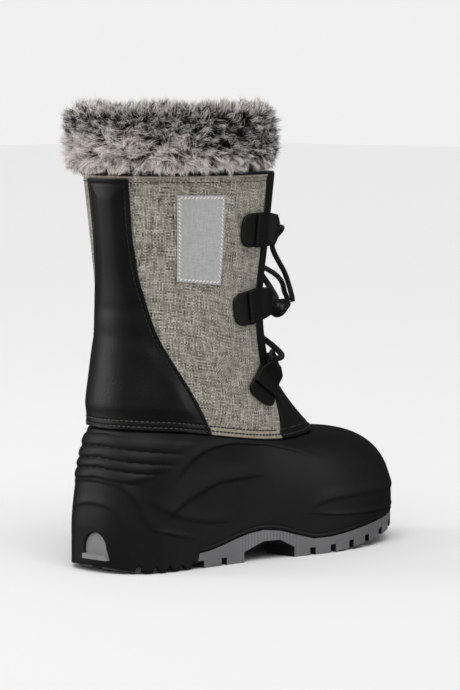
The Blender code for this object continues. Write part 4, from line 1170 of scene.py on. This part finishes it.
def ring_path(side, level, tilt):
    """A rounded loop through the fold."""
    half, length = RING_WIDTH / 2 + RING_WIRE, RING_LENGTH / 2
    path = []
    for turn in np.linspace(0, 2 * math.pi, 56, endpoint=False):
        c, s = math.cos(turn), math.sin(turn)
        back = -FOLD_AHEAD - length + length * math.copysign(abs(c) ** 0.75, c)
        up = half * math.copysign(abs(s) ** 0.75, s)
        path.append(on_shaft(side, level, tilt, back, up, RING_HEIGHT))
    return path


for name, side in SIDES.items():
    for number, (level, tilt) in enumerate(TABS, 1):
        label = f"{name}_{number}"
        tab = panel("lace_tab_" + label, tab_grid(side, level, tilt), TAB_LAYER, bevel=0.35)
        finish_piece(tab, black_leather, "black_leather", "tab_" + label)
        loop = tube("lace_loop_" + label, ring_path(side, level, tilt), RING_WIRE, 10, loop=True)
        finish_piece(loop, cord_black, "black_plastic", "ring_" + label)
print("tabs and rings made")

# %% [markdown]
# ## Seams
# Stitches are short capsules of thread, laid end to end along a line on the skin. Each row is
# one joined mesh. Along the foot of the cloth runs a cream tape, with one dark row on it and one
# above it. Under the fur a narrow dark tube runs along the edge, over a cream fold.

# %% Stitch helpers
def capsule(around=6):
    """A small rounded bar along X, of length and radius 1, as points and faces."""
    profile = ((-0.5, 0.45), (-0.36, 1.0), (0.36, 1.0), (0.5, 0.45))
    points = [(x, r * math.cos(a), r * math.sin(a)) for x, r in profile
              for a in np.linspace(0, 2 * math.pi, around, endpoint=False)]
    faces = []
    for low in range(0, (len(profile) - 1) * around, around):
        for c in range(around):
            following = (c + 1) % around
            faces.append((low + c, low + following, low + around + following, low + around + c))
    last = (len(profile) - 1) * around
    faces += [tuple(range(around - 1, -1, -1)), tuple(range(last, last + around))]
    return np.array(points), faces


def stitch_row(line, out, pitch, length, radius, slant=0.0):
    """Places along a line for stitches: middles, directions and the way up of each."""
    run = np.concatenate([[0], np.cumsum(np.linalg.norm(np.diff(line, axis=0), axis=1))])
    count = int(run[-1] // pitch)
    at = (np.arange(count) + 0.5) * run[-1] / count
    middle = np.stack([np.interp(at, run, line[:, k]) for k in range(3)], -1)
    ahead_of = np.stack([np.interp(at + 0.3, run, line[:, k]) for k in range(3)], -1)
    direction = unit(ahead_of - middle + 1e-9)
    up = unit(np.stack([np.interp(at, run, out[:, k]) for k in range(3)], -1))
    across = np.cross(up, direction)
    turned = direction * math.cos(slant) + across * math.sin(slant)
    return middle, turned, up, length, radius


def stitches(name, rows, finish, slot):
    """One mesh of all the stitches in some rows."""
    shape, shape_faces = capsule()
    points, faces = [], []
    for middle, direction, up, length, radius in rows:
        across = np.cross(up, direction)
        for m, d, a, u in zip(middle, direction, across, up):
            faces += [tuple(len(points) * len(shape) + k for k in face) for face in shape_faces]
            around = shape[:, 1:2] * a * radius + shape[:, 2:] * u * radius
            points.append(m + shape[:, :1] * d * length + around)
    mesh = bpy.data.meshes.new(name)
    mesh.from_pydata((np.concatenate(points) * MM).tolist(), [], faces)
    piece = bpy.data.objects.new(name, mesh)
    bpy.context.scene.collection.objects.link(piece)
    shade(piece, 60)
    return finish_piece(piece, finish, slot)


def skin_line(stations, levels, height):
    """A line on the shaft's skin with its outward directions."""
    stations, levels = np.broadcast_arrays(np.asarray(stations, float), np.asarray(levels, float))
    heights = np.broadcast_to(np.asarray(height, float), stations.shape)
    return offset(shaft_point, stations, levels, heights), normals(shaft_point, stations, levels)


print("stitch helpers ready")

# %% Seam pieces
SHAFT_MM = COLLAR_HEIGHT - TOPLINE_HEIGHT
STITCH_PITCH, STITCH_LENGTH, STITCH_RADIUS = 2.9, 2.1, 0.32
PATCH_SEAM, PATCH_SLANT, TAB_SEAM_INSET = 1.4, 35, 1.2
pale_thread = grained("pale_thread", grey(0.78), grey(0.88), 0.6, 3000.0, 0.05)
grey_thread = grained("grey_thread", (0.03, 0.028, 0.024), (0.07, 0.065, 0.055), 0.7, 3000.0, 0.05)


def backstay_line(side, inset, low, high, count=120):
    """A line inside the backstay's edge."""
    levels = np.linspace(low, high, count)
    reach = backstay_reach(side, levels)
    step = 0.01
    here = np.full_like(levels, 0.9)
    move = shaft_point(here + step, levels) - shaft_point(here, levels)
    stations = side * (reach - inset / (np.linalg.norm(move, axis=-1) / step))
    return skin_line(stations, levels, GAP + 1.05)


rows = []
for side in (-1, 1):
    line = backstay_line(side, EDGE_SEAM, 0.04, BACKSTAY_TOP - 0.02)
    rows.append(stitch_row(*line, STITCH_PITCH, STITCH_LENGTH, STITCH_RADIUS))
stitches("backstay_side_stitches", rows, thread, "black_leather")

rows = []
on_backstay = np.linspace(-2.78, 2.78, 160), GAP + 1.1
on_saddle = np.linspace(throat_edge(1, 0.02) + 0.1, throat_edge(-1, 0.02) - 0.1, 200), 0.25
for up in (HEM_LOW, HEM_HIGH):
    for station, height in (on_backstay, on_saddle):
        line = skin_line(station, FOOT_LEVEL + up / SHAFT_MM, height)
        rows.append(stitch_row(*line, STITCH_PITCH, STITCH_LENGTH, 0.3))
stitches("foot_stitches", rows, grey_thread, "black_leather")


def front_stations(side, level, count):
    """Stations from the backstay's edge to the front edge of the cloth, on one side."""
    reach = float(backstay_reach(side, level)) + 0.03
    edge = float(throat_edge(side, level))
    if side < 0:
        return np.linspace(edge + 0.05, STATIONS - reach, count)
    return np.linspace(reach, edge - 0.05, count)


# Section of the hem tape: millimetres up the shaft and height over it.
TAPE = (
    (1.0, 0.25), (1.3, 0.75), (2.2, 0.8), (2.5, 0.45), (3.2, 0.45), (3.5, 0.8), (4.4, 0.75), (4.7, 0.2),
)
for name, side in SIDES.items():
    station = front_stations(side, 0.02, 90)
    tape = np.array([skin_line(station, up / SHAFT_MM, height)[0] for up, height in TAPE])
    finish_piece(panel("hem_tape_" + name, tape, 0.35), cream_tape, "melange_cloth")
    rows = [
        stitch_row(*skin_line(station, up / SHAFT_MM, height), STITCH_PITCH, STITCH_LENGTH, 0.36)
        for up, height in ((2.85, 0.95), (5.3, 0.25))
    ]
    stitches("hem_stitches_" + name, rows, thread, "black_leather")
    levels = np.linspace(SADDLE_SIDE + 0.03, 0.985, 90)
    edge_line = skin_line(throat_edge(side, levels) - side * 0.22, levels, 0.1)
    rows = [stitch_row(*edge_line, STITCH_PITCH, STITCH_LENGTH, 0.26)]
    stitches("front_stitches_" + name, rows, thread, "black_leather")

# A narrow dark tube runs along the top edge of the cloth, under the fur.
station = np.linspace(throat_edge(-1, 1.0), STATIONS + throat_edge(1, 1.0), 160)
line, out = skin_line(station, 0.997, 0.35)
dark_tube_under_fur = tube("collar_dark_tube", line, 0.75, 8)
finish_piece(dark_tube_under_fur, soft_leather, "black_leather")
fold_line = skin_line(station, 1 - 1.7 / SHAFT_MM, 0.12)[0]
finish_piece(tube("collar_fold", fold_line, 0.55, 8), cream_tape, "melange_cloth")
rows = [stitch_row(*skin_line(station, 1 - 4.6 / SHAFT_MM, 0.12), STITCH_PITCH, STITCH_LENGTH, 0.24)]
stitches("collar_stitches", rows, grey_thread, "melange_cloth")


def patch_line(spots, height):
    """Points at a height over the patch's face."""
    over = GAP + PATCH_THICKNESS + height
    return np.array([on_skin(-1, *PATCH_PLACE, 0, across, up, over) for across, up in spots])


rows = []
wide, high = PATCH_WIDTH / 2 - PATCH_SEAM, PATCH_HEIGHT / 2 - PATCH_SEAM
corners = [(-wide, -high), (wide, -high), (wide, high), (-wide, high), (-wide, -high)]
for (a0, u0), (a1, u1) in zip(corners, corners[1:]):
    spots = [(a0 + (a1 - a0) * t, u0 + (u1 - u0) * t) for t in np.linspace(0, 1, 40)]
    line = patch_line(spots, 0.1)
    above = patch_line(spots, 1.1)
    rows.append(stitch_row(line, above - line, 2.1, 1.7, 0.30, slant=math.radians(PATCH_SLANT)))
stitches("patch_stitches", rows, pale_thread, "silver_patch")


def tab_line(side, level, tilt, height):
    """Points across a tab at its seam, at a height over its upper layer."""
    back = TAB_LENGTH * TAB_SEAM - TAB_SEAM_INSET
    half = float(tab_half(back)) - TAB_SEAM_INSET
    over = TAB_SEAT + 2 * TAB_LAYER + height
    return np.array([on_shaft(side, level, tilt, back, up, over) for up in np.linspace(-half, half, 20)])


rows = []
for side in SIDES.values():
    for level, tilt in TABS:
        line = tab_line(side, level, tilt, 0.15)
        above = tab_line(side, level, tilt, 1.15)
        rows.append(stitch_row(line, above - line, 2.3, 1.7, 0.28))
stitches("tab_stitches", rows, thread, "black_leather")
print("seams made")

# %% [markdown]
# ## Toggle
# The cord lock is a small turned barrel that the two ends run through.

# %% Toggle
TOGGLE_FULLNESS = 1.2
TOGGLE_PROFILE = (
    (0.00, 0.30), (0.00, 0.55), (0.03, 0.70), (0.10, 0.88), (0.20, 0.97), (0.32, 1.00), (0.45, 0.97),
    (0.58, 0.88), (0.72, 0.75), (0.84, 0.64), (0.94, 0.58), (0.99, 0.50), (1.00, 0.36), (0.97, 0.28),
)


def make_toggle():
    """The barrel, turned round its own line."""
    foot = TOGGLE_TIP - TOGGLE_AHEAD * TOGGLE_LENGTH
    line = np.array([foot + TOGGLE_AHEAD * TOGGLE_LENGTH * share for share, radius in TOGGLE_PROFILE])
    up = np.array([-TOGGLE_AHEAD[2], 0, TOGGLE_AHEAD[0]])
    across = np.array([0.0, 1.0, 0.0])
    turn = np.linspace(0, 2 * math.pi, 41)
    circle = np.sin(turn)[:, None] * up + np.cos(turn)[:, None] * across
    rings = [
        place + TOGGLE_RADIUS * radius * TOGGLE_FULLNESS * circle
        for place, (share, radius) in zip(line, TOGGLE_PROFILE)
    ]
    return close_ends(panel("cord_toggle", np.array(rings), closed=True), 40)


toggle = make_toggle()
finish_piece(toggle, hard_plastic, "black_plastic", "toggle")
print("toggle made")

# %% [markdown]
# ## Fur collar
# Deep fur is built as locks: each lock has a root on the backing, a direction and a length, and
# its hairs start round the root and lean together at the tip. A hair is a narrow ribbon of two
# quads and a triangle. Most hairs run from a dark root to a pale tip. Near the lower edge the fur
# is lighter, with pink in the grey, and this pale band reaches higher at the back of the collar,
# partly as painted light.

# %% Fur helpers
FUR_HEIGHT, FUR_WIDTH = 38.0, 17.0
FUR_OVERHANG_BACK, FUR_OVERHANG_FRONT = 8.5, -4.5
FUR_BASE = COLLAR_HEIGHT + GAP
BACKING_WIDTH, BACKING_HEIGHT, BACKING_LIFT = 0.42, 0.62, 6.0
HAIR_LENGTH = (7.5, 12.5)
HAIRS_PER_LOCK = 44
HAIR_WIDTH = 0.34
# How far locks lean at random, and how much they lean up, or down at the fur's foot.
LEAN_SPREAD, LEAN_UP, LEAN_DOWN = 0.34, 0.08, 0.55
# How far a lock's roots spread, in stations and in radians, then its tips and bends in mm.
ROOT_SPREAD, TURN_SPREAD, TIP_SPREAD, BEND_SPREAD = 0.13, 0.11, 0.75, 0.5
# Height where the pale band at the fur's foot ends, at the front and at the back of the leg. That it
# ends higher at the back is partly the fur's own tone and partly painted light on the lit back of the
# collar.
PALE_FRONT, PALE_BACK_WITH_PAINTED_LIGHT = 219.0, 240.0
# Heights between which the fur grows paler again at its top.
CROWN = (249.0, 255.0)


def fur_point(station, turn, wide=1.0, high=1.0):
    """A point on the fur's round section: turn is -90 degrees at its foot, 0 on the outside."""
    top = np.ones_like(station)
    skin = shaft_point(station, top)
    out = normals(shaft_point, station, top)
    out[..., 2] = 0
    out = unit(out)
    forward = (1 + out[..., 0]) / 2
    overhang = FUR_OVERHANG_BACK + (FUR_OVERHANG_FRONT - FUR_OVERHANG_BACK) * forward ** 2
    across, rise = np.cos(turn), np.sin(turn)
    across = np.sign(across) * np.abs(across) ** 0.7
    rise = np.sign(rise) * np.abs(rise) ** 0.75
    shift = overhang - FUR_WIDTH / 2 + across * wide * FUR_WIDTH / 2
    place = skin * (1, 1, 0) + out * shift[..., None]
    lift = BACKING_LIFT * (1 - high) / (1 - BACKING_HEIGHT)
    place[..., 2] = FUR_BASE + FUR_HEIGHT / 2 * high * (1 + rise) + lift
    return place


def fur_normal(station, turn):
    """The outward direction of the fur's section."""
    step = 0.02
    along = fur_point(station + step, turn) - fur_point(station - step, turn)
    upward = fur_point(station, turn + step) - fur_point(station, turn - step)
    return unit(np.cross(upward, along))


def backing(name, first, last):
    """The roll that the hairs stand on."""
    turn = np.linspace(-math.pi / 2, 1.5 * math.pi, 33)
    station = np.linspace(first, last, 120)
    grid, foot = (
        np.array([fur_point(station, np.full_like(station, t), wide, BACKING_HEIGHT) for t in turn])
        for wide in (BACKING_WIDTH, 0.10)
    )
    share = smooth(grid[..., 2], FUR_BASE + BACKING_LIFT, FUR_BASE + BACKING_LIFT + 7)[..., None]
    foot[..., 2] = FUR_BASE + (grid[..., 2] - FUR_BASE - BACKING_LIFT) * 0.3
    grid = foot * (1 - share) + grid * share
    return close_ends(panel(name, grid, closed=True), 60)


def hair_strip(name, first, last, locks, seed):
    """Ribbon hairs over the backing between two stations."""
    random = np.random.default_rng(seed)
    station = random.uniform(first, last, locks)
    turn = random.uniform(-1.45, 2.7, locks)
    normal = fur_normal(station, turn)
    length = random.uniform(*HAIR_LENGTH, locks)
    lean = random.normal(0, LEAN_SPREAD, (locks, 3)) + (0, 0, LEAN_UP)
    lean[:, 2] -= LEAN_DOWN * smooth(-turn, 0.3, 1.2)
    length = length * (1 - 0.22 * smooth(-turn, 0.9, 1.4))
    tip = fur_point(station, turn, BACKING_WIDTH, BACKING_HEIGHT)
    tip = tip + unit(normal + lean) * length[:, None] * 0.9

    count = locks * HAIRS_PER_LOCK
    lock = np.repeat(np.arange(locks), HAIRS_PER_LOCK)
    own_station = station[lock] + random.normal(0, ROOT_SPREAD, count)
    own_turn = turn[lock] + random.normal(0, TURN_SPREAD, count)
    root = fur_point(own_station, own_turn, BACKING_WIDTH * 0.95, BACKING_HEIGHT * 0.97)
    own_normal = fur_normal(own_station, own_turn)
    reach = random.uniform(0.65, 1.08, count)[:, None]
    end = root + (tip[lock] - root) * reach + random.normal(0, TIP_SPREAD, (count, 3))
    bend = root + own_normal * (length[lock] * random.uniform(0.35, 0.6, count))[:, None]
    bend += random.normal(0, BEND_SPREAD, (count, 3))

    share = np.array([0.0, 0.36, 0.70, 1.0])
    weights = np.array([(1 - share) ** 2, 2 * share * (1 - share), share ** 2])[..., None, None]
    spine = weights[0] * root + weights[1] * bend + weights[2] * end
    flat = unit(np.cross(end - root, random.normal(0, 1, (count, 3))))
    width = HAIR_WIDTH * random.uniform(0.7, 1.3, count)[:, None]
    corners = np.empty((count, 7, 3))
    for row, narrow in enumerate((1.0, 0.85, 0.55)):
        corners[:, 2 * row] = spine[row] - flat * width * narrow / 2
        corners[:, 2 * row + 1] = spine[row] + flat * width * narrow / 2
    corners[:, 6] = spine[3]
    # Partly painted light: the pale band reaches higher towards the back of the collar.
    back_share = smooth(-root[:, 0], -60.0, 36.0)
    band = PALE_FRONT + (PALE_BACK_WITH_PAINTED_LIGHT - PALE_FRONT) * back_share + random.normal(0, 2.5, locks)[lock]
    pale = 1 - smooth(tip[lock, 2], band - 5, band + 5)
    with_lock = random.uniform(0, 1, count) < 0.6
    lock_kind = random.uniform(0, 1, locks)[lock]
    kind = np.where(with_lock, lock_kind, random.uniform(0, 1, count))
    crown = smooth(tip[lock, 2], *CROWN)
    frosted = np.where(kind < 0.72 + 0.25 * pale, 0.5, 0.0)
    tone = np.where(kind < 0.04 + 0.80 * pale + 0.45 * crown, 1.0, frosted)
    tone = tone * random.uniform(0.9, 1.0, count)
    quads = np.array([(0, 1, 3, 2), (2, 3, 5, 4)])
    starts = np.arange(count)[:, None, None] * 7
    quad_faces = (quads + starts).reshape(-1, 4)
    tip_faces = (np.array([[4, 5, 6]]) + starts).reshape(-1, 3)
    return hair_mesh(name, corners, quad_faces, tip_faces, tone)


def hair_mesh(name, corners, quads, triangles, tone):
    """A mesh from ribbon corners, with an attribute for place along the hair and one for tone:
    0 is a dark hair, a half one with a frosted tip, and 1 a pale one."""
    mesh = bpy.data.meshes.new(name)
    mesh.from_pydata((corners.reshape(-1, 3) * MM).tolist(), [], quads.tolist() + triangles.tolist())
    along = np.tile([0.0, 0.0, 0.36, 0.36, 0.70, 0.70, 1.0], len(corners))
    for label, values in (("along", along), ("tone", np.repeat(tone, 7))):
        made = mesh.attributes.new(label, "FLOAT", "POINT")
        made.data.foreach_set("value", values.astype(np.float32))
    piece = bpy.data.objects.new(name, mesh)
    bpy.context.scene.collection.objects.link(piece)
    for face in mesh.polygons:
        face.use_smooth = True
    return piece


print("fur helpers ready")

# %% Fur finish and pieces
def fur_finish():
    """Hair that is dark, frosted at its tip or pale, by its tone."""
    made, tree, shader = start_material("frosted_hair", (0.1, 0.09, 0.09), 0.5, IOR=1.4)
    along = node(tree, "Attribute", attribute_name="along").outputs["Fac"]
    tone = node(tree, "Attribute", attribute_name="tone").outputs["Fac"]
    root = (0.0, (0.004, 0.004, 0.005))
    dark = ramp(tree, along, [root, (0.6, (0.012, 0.012, 0.013)), (1.0, grey(0.04))])
    frosted = ramp(tree, along, [
        root, (0.70, (0.015, 0.015, 0.016)), (0.83, (0.80, 0.78, 0.75)), (1.0, (1.0, 0.98, 0.95)),
    ])
    pale = ramp(tree, along, [
        (0.0, (0.20, 0.17, 0.16)), (0.35, (0.70, 0.62, 0.58)), (1.0, (1.0, 0.94, 0.90)),
    ])
    darker = mix(tree, maths(tree, "MULTIPLY", tone, 2.0), dark, frosted)
    colour = mix(tree, maths(tree, "MULTIPLY_ADD", tone, 2.0, -1.0), darker, pale)
    tree.links.new(colour, shader.inputs["Base Color"])
    return made


hair_finish = fur_finish()
FUR_EDGE = 0.04
SIDE_LOCKS, FRONT_LOCKS = 900, 540
collar_ends = (throat_edge(-1, 1.0) + FUR_EDGE, STATIONS + throat_edge(1, 1.0) - FUR_EDGE)
front_ends = (throat_edge(1, 1.0) + FUR_EDGE, throat_edge(-1, 1.0) - FUR_EDGE)
finish_piece(backing("fur_backing_collar", *collar_ends), fleece, "frosted_fur", "fur_collar")
finish_piece(backing("fur_backing_tongue", *front_ends), fleece, "frosted_fur", "fur_tongue")
middle = sum(collar_ends) / 2
for name, first, last, locks, seed in (
    ("outer", collar_ends[0], middle, SIDE_LOCKS, 11),
    ("inner", middle, collar_ends[1], SIDE_LOCKS, 12),
    ("front", *front_ends, FRONT_LOCKS, 13),
):
    hairs = hair_strip("fur_hair_" + name, first, last, locks, seed)
    finish_piece(hairs, hair_finish, "frosted_fur")
print("fur made")

# %% [markdown]
# ## Light, floor and sizes
# The boot stands on a pale, plain floor in a soft room. The camera sees the room pale, while it
# lights the boot less and shows in reflections least, so that black stays black. A wide sun
# softens the shadow. Two softboxes only make highlights, and a fill on the far side makes none.

# %% Light, floor and sizes
SEEN_BACKGROUND, ROOM_LIGHT, DARK_MIRROR = 0.875, 0.45, 0.86
SUN_STRENGTH, SUN_WIDTH = 2.04, 60
# Name, place, aim, size and power, and whether it is a fill.
LAMPS = (
    ("softbox_left", (-0.55, 0.75, 0.45), (0.03, 0.0, 0.13), (0.22, 0.9), 4.6, False),
    ("softbox_right", (0.6, -0.9, 0.5), (0.03, 0.0, 0.12), (0.3, 0.9), 3.6, False),
    ("fill_left", (-1.1, 1.3, 0.5), (0.0, 0.0, 0.2), (0.8, 0.8), 9.0, True),
)


def add_area(name, place, aim, size, power, fill):
    """A softbox: one that only shows as a highlight, or a fill that makes no highlight."""
    deselect()
    bpy.ops.object.light_add(type="AREA", location=place)
    lamp = bpy.context.object
    lamp.name = name
    lamp.data.shape = "RECTANGLE"
    lamp.data.size, lamp.data.size_y = size
    lamp.data.energy = power
    lamp.rotation_euler = (Vector(aim) - Vector(place)).to_track_quat("-Z", "Y").to_euler()
    lamp.visible_diffuse = fill
    lamp.visible_glossy = not fill


def floor_and_light():
    """The floor, the room, the sun and the lamps."""
    deselect()
    bpy.ops.mesh.primitive_plane_add(size=16.0)
    floor = bpy.context.object
    floor.name = "studio_floor"
    floor.data.materials.append(start_material("studio_white", grey(0.88), 0.9)[0])
    floor.visible_glossy = False
    world = bpy.data.worlds.new("soft_room")
    bpy.context.scene.world = world
    world.use_nodes = True
    tree = world.node_tree
    back = tree.nodes["Background"]
    seen = node(tree, "LightPath").outputs["Is Camera Ray"]
    mirrored = node(tree, "LightPath").outputs["Is Glossy Ray"]
    room = maths(tree, "MULTIPLY_ADD", mirrored, -DARK_MIRROR * ROOM_LIGHT, ROOM_LIGHT)
    strength = maths(tree, "MULTIPLY_ADD", seen, SEEN_BACKGROUND - ROOM_LIGHT, room)
    back.inputs["Color"].default_value = (1, 1, 1, 1)
    tree.links.new(strength, back.inputs["Strength"])
    deselect()
    bpy.ops.object.light_add(type="SUN", rotation=(math.radians(20), math.radians(-25), 0))
    sun = bpy.context.object
    sun.data.energy = SUN_STRENGTH
    sun.data.angle = math.radians(SUN_WIDTH)
    for lamp in LAMPS:
        add_area(*lamp)


floor_and_light()
bpy.context.scene.view_settings.view_transform = "Standard"
